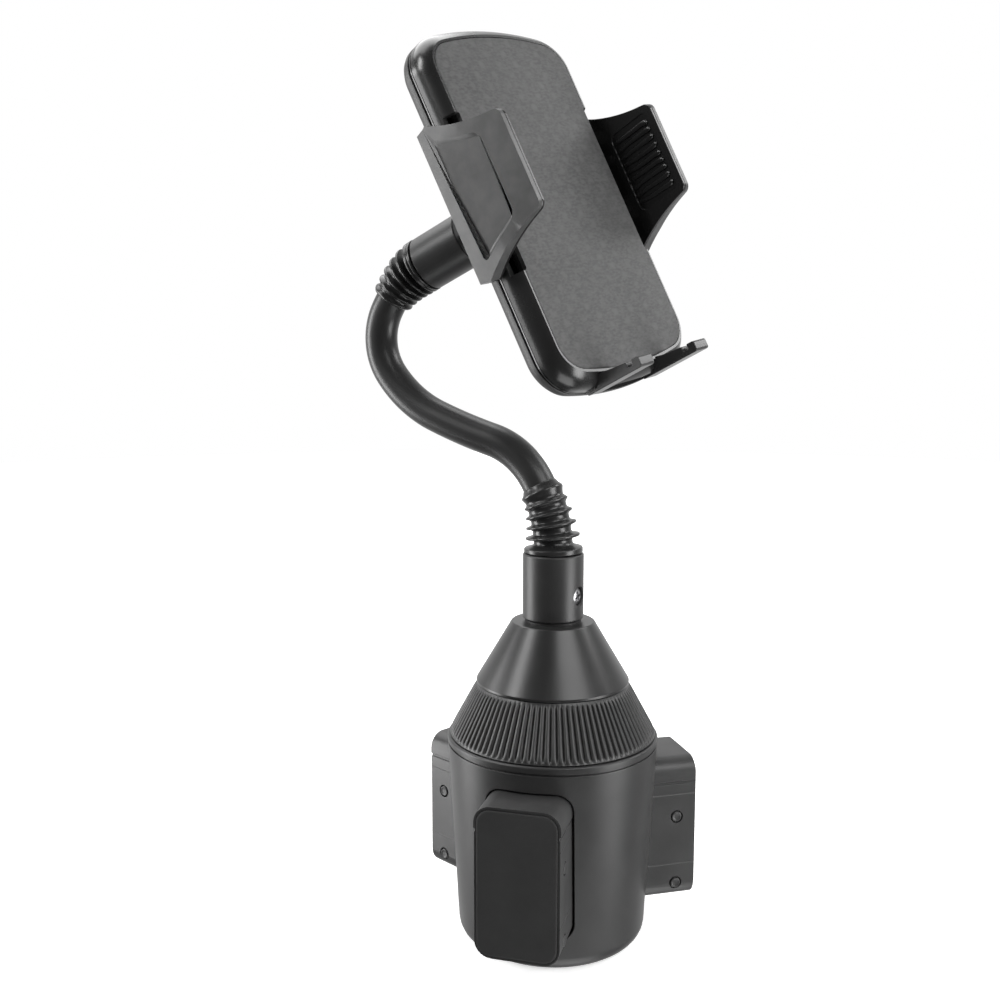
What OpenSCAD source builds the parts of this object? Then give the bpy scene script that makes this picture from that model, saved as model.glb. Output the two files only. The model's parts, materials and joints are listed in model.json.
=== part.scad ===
// Car phone mount that stands in a cup holder.
// +Z is up and the origin is the centre of the underside of the cup base.
// The user faces the mount from -Y; +X is to the right.

/* [Cup base] */
// Outer radius of the base at its rim
can_r = 33.5; // [33:0.5:35]
// Height of the base up to its rim
can_h = 66.5; // [66.5:0.5:68]
// Amount the radius shrinks from rim to foot
can_taper = 3.4; // [2.8:0.2:3.6]
// Number of grip ribs round the expander ring
grip_ribs = 96; // [72:12:96]

/* [Legs] */
// Distance from the base axis to the outer face of a leg
leg_reach = 44.9; // [43:0.1:45.5]
// Width of a leg
leg_w = 26.2; // [24:0.2:26.2]
// Height of a leg
leg_h = 46.6; // [44:0.2:46.6]
// Direction of the front leg, turned from straight ahead
leg_turn = -15.7; // [-30:0.1:30]

/* [Neck] */
// Radius of the rubber sleeve on the flexible neck
neck_r = 5.3; // [5:0.1:5.5]
// Direction the neck leans to, measured from the left towards the back
neck_lean = 28; // [0:1:60]

/* [Phone cradle] */
// Width of the soft pad
pad_w = 56.2; // [54:0.2:58]
// Length of the soft pad
pad_l = 105.6; // [103:0.2:107]
// Turn of the cradle about the vertical
cradle_yaw = 42.4; // [30:0.1:55]
// Lean of the cradle back from upright
cradle_tilt = 23.9; // [15:0.1:30]
// Turn of the cradle in its own plane
cradle_roll = 9.6; // [0:0.1:20]
// Height of the jaws measured along the phone
jaw_h = 46.4; // [43:0.2:47]
// Distance the jaws stand out in front of the pad
jaw_reach = 19; // [16:0.5:20]

/* [Hidden] */
$fn = 64;

// Cup base
floor_t = 4;
foot_round = 6;
foot_pad_r = 22;
foot_pad_t = 1.2;
can_foot_r = can_r - can_taper;
wall = 2.2;
deck_z = 58.3;
deck_t = 2;
ledge_w = 0.9;
post_r = 6.5;
post_head_r = 7.5;
shaft_gap = 0.05;
groove_z = can_h - 2.8;
groove_h = 0.7;
groove_depth = 0.5;
post_top_z = 91.5;
post_shoulder_z = 84.5;
screw_r = 2;

// Expander ring, cam disc and cone above them
ring_z = can_h + 0.4;
ring_top_z = 83;
ring_foot_r = can_r - 0.9;
ring_top_r = 23.8;
rib_proud = 0.5;
rib_w = 0.8;
cam_z = 61;
cam_t = 3;
cam_r = 30.4;
cone_z = 83.3;
cone_top_z = 102.8;
cone_foot_r = 24.2;
cone_top_r = 13.1;
collar_r = 9.6;
collar_top_z = 124.5;
collar_undercut = 0.7;
core_r = 3.4;
core_foot_z = 105;
collar_screw_z = 111.5;
collar_screw_turn = 57;

// Legs and the spiral cam that drives them: the legs move cam_rate mm per radian
leg_z = 11.1;
leg_round = 5.2;
leg_in_r = 18.5;
leg_gap = 0.4;
leg_pad_t = 3.1;
leg_pad_proud = 0.6;
leg_rim = 0.9;
leg_wall = 2.2;
leg_pin_r = 1.7;
leg_pin_inset = 6.9;
leg_pin_proud = 0.1;
leg_pin_zs = [16.4, 38.8];
follower_r = 2;
follower_at = 20.6;
stem_w = 6;
rail_w = 4;
rail_top_z = 13.7;
rail_plate_t = 2.5;
cam_rate = 8;
cam_in = -71.7;
cam_out = 45.9;
cam_steps = 26;
cam_slot_gap = 0.15;

// Neck: bend of each stretch in degrees, positive towards the lean, then a straight head
neck_bends = [27.6, 46.9, -6.5, -30.7, -64.5, -37.4];
first_stretch_l = 22;
stretch_l = 21.8;
head_l = 32;
ball_step = 0.1;
cup_gap = 0.2;
boot_tube = 0.9;
boot_fins = 6;
lower_pitch = 3.45;
upper_pitch = 2.9;
boot_wide_r = 9.2;
boot_slim_r = 6.7;
fin_t = 1.3;
top_collar_r = 8.7;
top_collar_l = 17.6;
ball_r = 7.5;
stud_r = 3.2;

// Ball joint, measured from the ball centre along the cradle normal
joint_gap = 0.1;
seat_t = 1.2;
seat_back = -3.2;
seat_front = 6.2;
socket_back = -5;
socket_front = 9.9;
socket_wall = 2;
hub_r = 7;
keeper_r = 9.6;
keeper_t = 1.8;
nut_r = 13;
nut_l = 8;
nut_ribs = 24;

// Cradle, measured from the centre of the pad's front face
ball_up = 6.5;
ball_back = 23;
rim = 3;
end_rim = 4.6;
body_w = pad_w + 2 * rim;
body_l = pad_l + 2 * end_rim;
body_round = 11.8;
crown_r = 110;
front_n = 0.2;
split_n = -8;
back_n = -12.85;
shell_t = 2;
pad_t = 1.4;
plate_n = -3;
screw_at = [22, 44];
screw_end_n = -2.1;
jaw_mid = 4.7;
jaw_gap = 0.7;
jaw_t = 4.4;
jaw_back_n = -10.2;
liner_t = 1;
notch_h = 48.6;
notch_in = 27.3;
jaw_tip_h = 29.6;
jaw_in = body_w / 2 + jaw_gap;
bar_n = -7.6;
bar_t = 4.2;
bar_h = 6.2;
bar_end = 21;
guide_bar_h = 4.5;
guide_bar_end = 14;
grip_ribs_n = 9;
grip_pitch = 2.5;

// Jaw gear: rack and pinion of module gear_m
gear_m = 0.8;
gear_z = 12;
gear_angle = 25;
gear_play = 0.12;
gear_r = gear_m * gear_z / 2;
axle_r = 2;
rack_root = gear_r + 1;
guide_bar_low = rack_root + bar_h + 1.5;

// Foot bracket
prong_at = 13.3;
prong_w = 6;
prong_top = -53.1;
prong_low = -57.2;
prong_tip_n = 14.4;
prong_lip_t = 2.8;
prong_lip_h = 3.2;
prong_slot_w = 1.9;
prong_slot_floor = 1.6;
tongue_w = 34;
tongue_top = -30;
tongue_n = -7.4;
tongue_t = 3.6;
slide_gap = 0.3;

// Release button in the right side of the cradle
button_u = -33;
button_n = -8;
button_w = 9;
button_t = 3.4;
button_out = 1.8;
button_in = 3;
button_stem_l = 8;
button_stem_w = 3;
button_stem_t = 2.4;
button_stop_w = 24.3;

// ---------- path of the neck ----------

stretches = len(neck_bends);
function stretch_start(k) = k == 0 ? 0 : first_stretch_l + stretch_l * (k - 1);
function stretch_len(k) = k == 0 ? first_stretch_l : k < stretches ? stretch_l : head_l;
function bend_of(k) = k < stretches ? neck_bends[k] : 0;
function heading(k) = k == 0 ? 0 : heading(k - 1) + bend_of(k - 1);
function bend_r(k) = stretch_len(k) / bend_of(k) * 180 / PI;
// Move in the plane of the neck after bending by turn on stretch k
function arc_step(k, turn) = bend_r(k)
    * [cos(heading(k)) - cos(heading(k) + turn), sin(heading(k) + turn) - sin(heading(k))];
function stretch_foot(k) = k == 0 ? [0, collar_top_z]
    : stretch_foot(k - 1) + arc_step(k - 1, bend_of(k - 1));

neck_l = stretch_start(stretches);
head_foot = stretch_foot(stretches);
head_turn = heading(stretches);
ball_point = head_foot + head_l * [sin(head_turn), cos(head_turn)];
ball_centre = [-cos(neck_lean) * ball_point[0], sin(neck_lean) * ball_point[0], ball_point[1]];

// ---------- small shapes ----------

// Rectangle with round corners, centred
module rounded(w, h, r) {
    square([w - 2 * r, h], center = true);
    square([w, h - 2 * r], center = true);
    for (x = [-1, 1], y = [-1, 1])
        translate([x * (w / 2 - r), y * (h / 2 - r)]) circle(r);
}

// Ring of revolution between two radii
module tube(outer, inner, h) {
    difference() {
        cylinder(r = outer, h = h);
        translate([0, 0, -1]) cylinder(r = inner, h = h + 2);
    }
}

// Screw with its head's top at z = 0 and the shank below; a cross is cut in the head
module cross_screw(head_r, head_t, shank_r, length) {
    slot_w = head_r * 0.32;
    slot_l = head_r * 1.3;
    difference() {
        union() {
            translate([0, 0, -head_t]) cylinder(r = head_r, h = head_t);
            translate([0, 0, -length]) cylinder(r = shank_r, h = length);
        }
        for (a = [0, 90])
            rotate([0, 0, a]) translate([-slot_l / 2, -slot_w / 2, -head_t * 0.6])
                cube([slot_l, slot_w, head_t]);
    }
}

// Coil of round wire standing on z = 0
module coil(r, wire_r, length, turns) {
    around = 8;
    steps = turns * 18;
    points = [for (i = [0 : steps], j = [0 : around - 1])
        let (a = 360 * turns * i / steps, b = 360 * j / around,
             z = wire_r + (length - 2 * wire_r) * i / steps)
        [(r + wire_r * cos(b)) * cos(a), (r + wire_r * cos(b)) * sin(a), z + wire_r * sin(b)]];
    sides = [for (i = [0 : steps - 1], j = [0 : around - 1])
        let (k = (j + 1) % around)
        [i * around + j, i * around + k, (i + 1) * around + k, (i + 1) * around + j]];
    near_end = [for (j = [around - 1 : -1 : 0]) j];
    far_end = [for (j = [0 : around - 1]) steps * around + j];
    polyhedron(points, concat([near_end], sides, [far_end]));
}

// ---------- cup base ----------

function can_outer(z) = can_foot_r + can_taper * (z - foot_round) / (can_h - foot_round);

module can_profile() {
    polygon([[0, 0], [can_foot_r - foot_round, 0], [can_foot_r - foot_round, foot_round],
             [can_foot_r, foot_round], [can_r, can_h], [0, can_h]]);
    translate([can_foot_r - foot_round, foot_round]) intersection() {
        circle(foot_round);
        translate([0, -foot_round]) square(foot_round);
    }
}

module can_hollow() {
    low_r = can_outer(floor_t) - wall - ledge_w;
    ledge_r = can_outer(deck_z) - wall - ledge_w;
    polygon([[0, floor_t], [low_r - 1, floor_t], [low_r, floor_t + 2], [ledge_r, deck_z],
             [ledge_r + ledge_w, deck_z], [can_r - wall, can_h + 1], [0, can_h + 1]]);
}

module leg_place(i) {
    rotate([0, 0, leg_turn - 90 + 120 * i]) children();
}

// Bar of rounded section from radius x0 to x1, covering a leg's outline grown by g
module leg_bar(x0, x1, g) {
    translate([x0, 0, leg_z + leg_h / 2]) rotate([90, 0, 90])
        linear_extrude(x1 - x0) rounded(leg_w + 2 * g, leg_h + 2 * g, leg_round + g);
}

module can_shell() {
    color("#242426") difference() {
        rotate_extrude() difference() {
            can_profile();
            can_hollow();
            translate([can_outer(groove_z) - groove_depth, groove_z]) square([2, groove_h]);
        }
        for (i = [0 : 2]) leg_place(i) leg_bar(leg_in_r, can_r + 5, leg_gap);
        translate([0, 0, -1]) cylinder(r = foot_pad_r, h = foot_pad_t + 1);
        translate([0, 0, -1]) cylinder(r = screw_r, h = floor_t + 2);
        translate([0, 0, -1]) cylinder(r = 2 * screw_r, h = foot_pad_t + 1 + 1.6);
    }
}

module foot_pad() {
    color("#1b1b1c") cylinder(r = foot_pad_r, h = foot_pad_t);
}

module post_screw() {
    color("silver") translate([0, 0, foot_pad_t]) rotate([180, 0, 0])
        cross_screw(2 * screw_r, 1.6, screw_r, 16);
}

module centre_post() {
    color("#3a3a3c") difference() {
        union() {
            translate([0, 0, floor_t]) cylinder(r = post_r, h = post_shoulder_z - floor_t);
            translate([0, 0, post_shoulder_z])
                cylinder(r = post_head_r, h = post_top_z - post_shoulder_z);
        }
        translate([0, 0, floor_t - 1]) cylinder(r = screw_r, h = 14.2);
    }
}

module leg_rail_plate() {
    plate_r = can_outer(floor_t) - wall - ledge_w - 1;
    color("#4a4a4c") difference() {
        union() {
            translate([0, 0, floor_t]) cylinder(r = plate_r, h = rail_plate_t);
            for (i = [0 : 2]) leg_place(i)
                translate([post_r + 1, -rail_w / 2, floor_t])
                    cube([plate_r - post_r - 2, rail_w, rail_top_z - floor_t]);
        }
        translate([0, 0, floor_t - 1]) cylinder(r = post_r, h = rail_top_z);
    }
}

module leg_guide_deck() {
    slot_w = stem_w + 2 * slide_gap;
    color("#4a4a4c") difference() {
        translate([0, 0, deck_z]) cylinder(r = can_outer(deck_z) - wall, h = deck_t);
        translate([0, 0, deck_z - 1]) cylinder(r = post_r, h = deck_t + 2);
        for (i = [0 : 2]) leg_place(i)
            translate([post_r + 1.2, -slot_w / 2, deck_z - 1]) cube([can_r, slot_w, deck_t + 2]);
    }
}

module leg(i) {
    stem_l = follower_at + follower_r + 0.6 - leg_in_r;
    color("#2b2b2d") leg_place(i) difference() {
        union() {
            leg_bar(leg_in_r, leg_reach - leg_pad_proud, 0);
            translate([leg_in_r, -stem_w / 2, leg_z + leg_h - 1])
                cube([stem_l, stem_w, cam_z - 0.4 - leg_z - leg_h + 1]);
            translate([follower_at, 0, leg_z + leg_h])
                cylinder(r = follower_r, h = cam_z + cam_t - 0.3 - leg_z - leg_h);
        }
        leg_bar(leg_reach - leg_pad_t, leg_reach + 1, -leg_rim);
        difference() {
            leg_bar(leg_in_r - 1, leg_reach - leg_pad_t - 2, -leg_wall);
            translate([0, -rail_w, 0]) cube([leg_reach, 2 * rail_w, rail_top_z + 2.5]);
        }
        translate([leg_in_r - 1, -rail_w / 2 - slide_gap, leg_z - 1])
            cube([leg_reach - leg_in_r - 8, rail_w + 2 * slide_gap, rail_top_z + 0.4 - leg_z + 1]);
        leg_pin_rods();
    }
}

module leg_pad(i) {
    color("#19191a") leg_place(i) leg_bar(leg_reach - leg_pad_t, leg_reach, -leg_rim);
}

// Cross pins of a leg, in the leg's own position
module leg_pin_rods() {
    for (z = leg_pin_zs)
        translate([leg_reach - leg_pin_inset, 0, z]) rotate([90, 0, 0])
            cylinder(r = leg_pin_r, h = leg_w + 2 * leg_pin_proud, center = true);
}

module leg_pins(i) {
    color("#39393b") leg_place(i) leg_pin_rods();
}

// ---------- expander ring, cam and cone ----------

module expander_ring() {
    slope = atan((ring_foot_r - ring_top_r) / (ring_top_z - ring_z));
    side = (ring_top_z - ring_z) / cos(slope);
    hub_top_z = post_shoulder_z - slide_gap;
    skirt_r = cam_r - 1;
    web_top_z = ring_z - 0.5;
    color("#2a2a2c") {
        rotate_extrude() polygon([
            [ring_foot_r, ring_z], [ring_top_r, ring_top_z], [ring_top_r - wall, ring_top_z],
            [skirt_r, ring_z + 1], [skirt_r - 1.5, web_top_z],
            [post_r + 3, web_top_z], [post_r + 3, hub_top_z],
            [post_r + shaft_gap, hub_top_z], [post_r + shaft_gap, cam_z + cam_t],
            [skirt_r, cam_z + cam_t], [skirt_r, ring_z]]);
        for (i = [0 : grip_ribs - 1])
            rotate([0, 0, i * 360 / grip_ribs]) translate([ring_foot_r, 0, ring_z])
                rotate([0, -slope, 0]) translate([-rib_proud, -rib_w / 2, 0.3])
                    cube([2 * rib_proud, rib_w, side - 0.6]);
    }
}

// Point of the cam slot for ring angle q, moved off by half the slot width
function cam_point(q, off) =
    let (r = follower_at + cam_rate * q * PI / 180,
         n = sqrt(r * r + cam_rate * cam_rate),
         out = [cos(-q), sin(-q)],
         side = [-sin(-q), cos(-q)])
    r * out + off / n * (r * out + cam_rate * side);

module cam_slot() {
    half = follower_r + cam_slot_gap;
    angles = [for (i = [0 : cam_steps]) cam_in + (cam_out - cam_in) * i / cam_steps];
    polygon(concat([for (q = angles) cam_point(q, half)],
                   [for (i = [cam_steps : -1 : 0]) cam_point(angles[i], -half)]));
    for (q = [cam_in, cam_out]) translate(cam_point(q, 0)) circle(half);
}

module cam_disc() {
    color("#c9c9c4") difference() {
        translate([0, 0, cam_z]) cylinder(r = cam_r, h = cam_t);
        translate([0, 0, cam_z - 1]) cylinder(r = post_r + shaft_gap, h = cam_t + 2);
        for (i = [0 : 2]) leg_place(i)
            translate([0, 0, cam_z - 1]) linear_extrude(cam_t + 2) cam_slot();
    }
}

module cone_cover() {
    boss_r = post_head_r + 2.4;
    color("#1f1f21") rotate_extrude() polygon([
        [cone_foot_r, cone_z], [cone_foot_r, cone_z + 0.8], [cone_top_r, cone_top_z],
        [post_head_r, cone_top_z], [post_head_r, post_shoulder_z],
        [boss_r, post_shoulder_z], [boss_r, cone_top_z - wall],
        [cone_top_r - 1.2, cone_top_z - wall], [cone_foot_r - wall, cone_z]]);
}

module collar_screw_place() {
    translate([0, 0, collar_screw_z]) rotate([0, 0, collar_screw_turn - 90]) rotate([0, 90, 0])
        children();
}

module neck_collar() {
    color("#1f1f21") difference() {
        rotate_extrude() polygon([
            [core_r, post_top_z + 1], [post_head_r, post_top_z + 1], [post_head_r, cone_top_z],
            [collar_r - collar_undercut, cone_top_z],
            [collar_r - collar_undercut, cone_top_z + collar_undercut],
            [collar_r, cone_top_z + 2 * collar_undercut], [collar_r, collar_top_z],
            [core_r, collar_top_z]]);
        collar_screw_place() cylinder(r = 1.5, h = collar_r + 1);
        collar_screw_place() translate([0, 0, collar_r - 1.9]) cylinder(r = 2.9, h = 4);
    }
}

module collar_screw() {
    color("#6a6a6e") collar_screw_place() translate([0, 0, collar_r - 0.6])
        cross_screw(2.7, 1.3, 1.5, collar_r - 0.6 - core_r);
}

// ---------- flexible neck ----------

// Puts children at distance along from the start of stretch k, +Z pointing onward
module neck_place(k, along) {
    turn = bend_of(k) * along / stretch_len(k);
    p = stretch_foot(k) + (k < stretches ? arc_step(k, turn)
        : along * [sin(head_turn), cos(head_turn)]);
    rotate([0, 0, 180 - neck_lean]) translate([p[0], 0, p[1]]) rotate([0, heading(k) + turn, 0])
        children();
}

// Round bar of radius r on stretch k, over its distances from and to
module neck_bar(k, from, to, r) {
    turn = bend_of(k) * (to - from) / stretch_len(k);
    neck_place(k, from) translate([bend_r(k), 0, 0]) rotate([90, 0, 0])
        rotate([0, 0, turn > 0 ? 180 - turn : 0])
            rotate_extrude(angle = abs(turn)) translate([abs(bend_r(k)), 0]) circle(r);
}

// Each stretch ends in a ball, and the next one is hollowed to turn on it
module neck_cup(k) {
    if (k > 0) neck_place(k, 0) sphere(neck_r + cup_gap);
}

module neck_core(k) {
    color("#8a8a8e") difference() {
        neck_bar(k, 0, stretch_len(k), core_r);
        neck_cup(k);
    }
}

module neck_sleeve(k) {
    color("#1c1c1d") difference() {
        union() {
            neck_bar(k, 0, stretch_len(k), neck_r);
            if (k < stretches - 1) neck_place(k, stretch_len(k)) sphere(neck_r - ball_step);
        }
        neck_bar(k, 0, stretch_len(k), core_r);
        neck_cup(k);
    }
}

module neck_ferrule() {
    color("#8a8a8e") translate([0, 0, core_foot_z])
        cylinder(r = core_r, h = collar_top_z - core_foot_z);
}

module boot_fin(r) {
    rotate_extrude() {
        translate([neck_r, -fin_t / 2]) square([r - neck_r - fin_t / 2, fin_t]);
        translate([r - fin_t / 2, 0]) circle(fin_t / 2, $fn = 24);
    }
}

// Finned rubber boot on stretch k, its fins growing from r0 to r1
module boot(k, from, pitch, r0, r1) {
    to = from + pitch * boot_fins;
    color("#151516") difference() {
        union() {
            neck_bar(k, from, to, neck_r + boot_tube);
            for (i = [0 : boot_fins - 1])
                neck_place(k, from + (i + 0.5) * pitch)
                    boot_fin(r0 + (r1 - r0) * i / (boot_fins - 1));
        }
        neck_bar(k, from, to, neck_r);
    }
}

module lower_boot() {
    boot(0, 0, lower_pitch, boot_wide_r, boot_slim_r);
}

module upper_boot() {
    boot(stretches - 1, stretch_l - upper_pitch * boot_fins, upper_pitch, boot_slim_r, boot_wide_r);
}

module top_collar() {
    color("#1f1f21") neck_place(stretches, 0)
        tube(top_collar_r, stud_r, top_collar_l);
}

module ball_stud() {
    color("silver") neck_place(stretches, 0) {
        cylinder(r = stud_r, h = head_l);
        translate([0, 0, head_l]) sphere(ball_r);
    }
}

// ---------- ball joint ----------

// Origin at the ball centre: +X across the phone, +Y up the phone, +Z out of the pad
module ball_place() {
    translate(ball_centre) rotate([0, 0, cradle_yaw]) rotate([90 - cradle_tilt, 0, 0])
        rotate([0, 0, cradle_roll]) children();
}

seat_in = ball_r + joint_gap;
seat_out = seat_in + seat_t;
socket_in = seat_out + joint_gap;
socket_out = socket_in + socket_wall;

module ball_seat() {
    color("#b8b8b4") ball_place() intersection() {
        difference() {
            sphere(seat_out);
            sphere(seat_in);
        }
        translate([0, 0, seat_back]) cylinder(r = seat_out + 1, h = seat_front - seat_back);
    }
}

module ball_socket() {
    thread_r = socket_out;
    color("#2b2b2d") ball_place() difference() {
        union() {
            translate([0, 0, socket_back]) cylinder(r = thread_r, h = socket_front - socket_back);
            translate([0, 0, socket_front])
                cylinder(r = hub_r, h = shell_t + 0.5);
        }
        sphere(socket_in);
        translate([0, 0, 5]) cylinder(r = 1.5, h = 10);
    }
}

module socket_keeper() {
    color("#9a9a9e") ball_place() translate([0, 0, socket_front + shell_t + 0.5]) difference() {
        cylinder(r = keeper_r, h = keeper_t);
        translate([0, 0, -1]) cylinder(r = 1.5, h = keeper_t + 2);
        translate([0, 0, keeper_t - 1]) cylinder(r = 3, h = 2);
    }
}

module keeper_screw() {
    top = socket_front + shell_t + 0.5 + keeper_t;
    color("silver") ball_place() translate([0, 0, top])
        cross_screw(3, 1, 1.5, top - sqrt(socket_in * socket_in - 2.25) - 0.2);
}

module lock_nut() {
    color("#222224") ball_place() translate([0, 0, socket_back - 1.2]) difference() {
        union() {
            cylinder(r = nut_r - 0.5, h = nut_l);
            for (i = [0 : nut_ribs - 1]) rotate([0, 0, i * 360 / nut_ribs])
                translate([nut_r - 1.5, -0.8, 0.6]) cube([1.5, 1.6, nut_l - 1.2]);
        }
        translate([0, 0, 1]) cylinder(r = socket_out + shaft_gap, h = nut_l);
        translate([0, 0, -1]) cylinder(r = socket_in, h = 3);
    }
}

// ---------- phone cradle ----------

// Origin at the centre of the pad's front face, axes as in ball_place
module cradle_place() {
    ball_place() translate([0, -ball_up, ball_back]) children();
}

// Outline with round corners and gently crowned ends
module crowned(w, l, r) {
    intersection() {
        rounded(w, l, r);
        translate([0, l / 2 - crown_r]) circle(crown_r);
        translate([0, crown_r - l / 2]) circle(crown_r);
    }
}

// Slab of the cradle outline between two depths, drawn in by g
module slab(n0, n1, g) {
    translate([0, 0, n0]) linear_extrude(n1 - n0)
        crowned(body_w - 2 * g, body_l - 2 * g, body_round - g);
}

// Openings through the side walls for the jaw bars and through the foot for the bracket
module wall_openings() {
    bars_low = jaw_mid - guide_bar_low - guide_bar_h - slide_gap;
    bars_high = jaw_mid + guide_bar_low + guide_bar_h + slide_gap;
    for (side = [-1, 1])
        translate([side * body_w / 2 - 4, bars_low, bar_n - slide_gap])
            cube([8, bars_high - bars_low, bar_t + 2 * slide_gap]);
    translate([-tongue_w / 2 - slide_gap, -body_l / 2 - 1, tongue_n - slide_gap])
        cube([tongue_w + 2 * slide_gap, 8, tongue_t + 2 * slide_gap]);
    for (side = [-1, 1])
        translate([side * prong_at - prong_w / 2 - slide_gap, prong_low - 3, tongue_n - slide_gap])
            cube([prong_w + 2 * slide_gap, prong_top - prong_low + 3 + slide_gap, 10]);
}

// Notches in both long edges of the frame and pad, beside the jaws
module jaw_notches() {
    for (side = [-1, 1])
        translate([side * (notch_in + 5), jaw_mid, plate_n + 5])
            cube([10, notch_h, 10], center = true);
}

module screw_spots() {
    for (x = [-1, 1], y = [-1, 1])
        translate([x * screw_at[0], y * screw_at[1], 0]) children();
}

module cradle_back() {
    color("#2d2d2f") cradle_place() difference() {
        union() {
            difference() {
                union() {
                    slab(back_n + 1.2, split_n, 0);
                    slab(back_n, back_n + 1.2, 1.2);
                }
                slab(back_n + shell_t, split_n + 1, shell_t);
            }
            screw_spots() translate([0, 0, back_n + 1]) cylinder(r = 3.2, h = split_n - back_n - 1);
            button_stop();
        }
        wall_openings();
        translate([0, ball_up, back_n - 1]) cylinder(r = hub_r + shaft_gap, h = shell_t + 2);
        screw_spots() {
            translate([0, 0, back_n - 1]) cylinder(r = 1.2, h = 12);
            translate([0, 0, back_n - 1]) cylinder(r = 2.4, h = 2.8);
        }
        button_opening();
    }
}

module cradle_frame() {
    pad_gap = 0.15;
    color("#0f0f10") cradle_place() difference() {
        union() {
            difference() {
                union() {
                    slab(split_n, -2.4, 0);
                    slab(-2.4, -1, 0.5);
                    slab(-1, front_n, 1.3);
                }
                slab(split_n - 1, plate_n, shell_t);
                translate([0, 0, -pad_t]) linear_extrude(5)
                    crowned(pad_w + 2 * pad_gap, pad_l + 2 * pad_gap, body_round - rim);
            }
            screw_spots() translate([0, 0, split_n]) cylinder(r = 3.2, h = plate_n - split_n + 0.1);
            translate([0, jaw_mid, bar_n]) cylinder(r = axle_r, h = plate_n - bar_n + 0.1);
        }
        wall_openings();
        jaw_notches();
        button_opening();
        screw_spots() translate([0, 0, split_n - 1]) cylinder(r = 1.2, h = screw_end_n - split_n + 1);
        translate([0, jaw_mid, bar_n - 1]) cylinder(r = 0.9, h = 4.5);
    }
}

module cradle_pad() {
    color("#4c4c4e") cradle_place() difference() {
        translate([0, 0, -pad_t]) linear_extrude(pad_t) crowned(pad_w, pad_l, body_round - rim);
        jaw_notches();
    }
}

module cradle_screws() {
    color("#77777b") cradle_place() screw_spots() translate([0, 0, back_n + 0.4])
        rotate([180, 0, 0]) cross_screw(2.2, 1.2, 1.2, 9.6);
}

module pinion_screw() {
    color("silver") cradle_place() translate([0, jaw_mid, bar_n - 0.2]) rotate([180, 0, 0])
        translate([0, 0, 0.55]) cross_screw(3.2, 0.55, 0.9, 3.6);
}

// ---------- jaws ----------

function involute(r, base) = let (a = acos(base / r)) tan(a) * 180 / PI - a;

// Points of one pinion tooth pointing along +Y, then turned by angle turn
function gear_tooth(turn) =
    let (base = gear_r * cos(gear_angle),
         tip = gear_r + gear_m,
         root = gear_r - 1.25 * gear_m,
         half = 90 / gear_z - gear_play / 4 / gear_r * 180 / PI + involute(gear_r, base),
         radii = [for (i = [0 : 5]) base + (tip - base) * i / 5],
         flank = [for (r = radii) [r, half - involute(r, base)]],
         left = concat([[root, half]], flank),
         points = concat(left, [for (i = [len(left) - 1 : -1 : 0]) [left[i][0], -left[i][1]]]))
    [for (p = points) p[0] * [-sin(p[1] + turn), cos(p[1] + turn)]];

// Pinion outline with a tooth pointing along +Y
module gear_outline() {
    polygon([for (t = [0 : gear_z - 1]) each gear_tooth(-t * 360 / gear_z)]);
}

// Rack teeth pointing down from y = 0 pitch line, with a gap at x = 0
module rack_outline(x0, x1, h) {
    pitch = PI * gear_m;
    add = 0.9 * gear_m;
    ded = 1.25 * gear_m;
    half = pitch / 4 - gear_play / 4;
    lean = tan(gear_angle);
    translate([x0, ded]) square([x1 - x0, h]);
    for (k = [ceil(x0 / pitch + 0.5) : floor(x1 / pitch - 0.5) - 1])
        translate([(k + 0.5) * pitch, 0]) polygon([
            [-half - ded * lean, ded + 0.1], [-half + add * lean, -add],
            [half - add * lean, -add], [half + ded * lean, ded + 0.1]]);
}

module jaw_pinion() {
    color("#d0d0cc") cradle_place() translate([0, jaw_mid, bar_n]) linear_extrude(bar_t)
        difference() {
            gear_outline();
            circle(axle_r + shaft_gap);
        }
}

// Side view of a jaw: x is the depth n, y is along the phone from the jaw's middle
module jaw_outline() {
    back = jaw_h / 2;
    tip = jaw_tip_h / 2;
    corner = 2.5;
    bite_from = [jaw_back_n + 3.5, back + 0.9];
    bite_to = [jaw_reach - 2.2, tip];
    chord = bite_to - bite_from;
    sag = 1.3;
    bite_r = (chord * chord / 4 + sag * sag) / 2 / sag;
    out = [-chord[1], chord[0]] / norm(chord);
    bite_mid = (bite_from + bite_to) / 2 + out * (bite_r - sag);
    difference() {
        union() {
            polygon([[jaw_back_n, -back + 1.5], [jaw_back_n, back - 1.5], [jaw_back_n + 3, back],
                     [jaw_reach - corner, tip + 0.2], [jaw_reach, tip - corner],
                     [jaw_reach, -tip + corner], [jaw_reach - corner, -tip - 0.2],
                     [jaw_back_n + 3, -back]]);
            for (side = [-1, 1])
                translate([jaw_reach - corner, side * (tip - corner)]) circle(corner);
        }
        for (side = [-1, 1])
            translate([bite_mid[0], side * bite_mid[1]]) circle(bite_r);
    }
}

// Pocket scooped out of a jaw's outer face
module jaw_scoop() {
    scoop_r = 14;
    scoop_depth = 2.1;
    scoop_n = 3.2;
    intersection() {
        translate([jaw_in + jaw_t - scoop_depth + scoop_r, 0, scoop_n]) rotate([90, 0, 0])
            cylinder(r = scoop_r, h = jaw_h, center = true);
        translate([jaw_in, 0, 0]) rotate([90, 0, 90]) linear_extrude(jaw_t + 1)
            mirror([1, 0]) rotate([0, 0, 90]) intersection() {
                translate([-jaw_h / 2, -4]) square([jaw_h, 18]);
                polygon([[-18.8, -6], [18.8, -6], [10.4, 15], [-10.4, 15]]);
            }
    }
}

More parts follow.
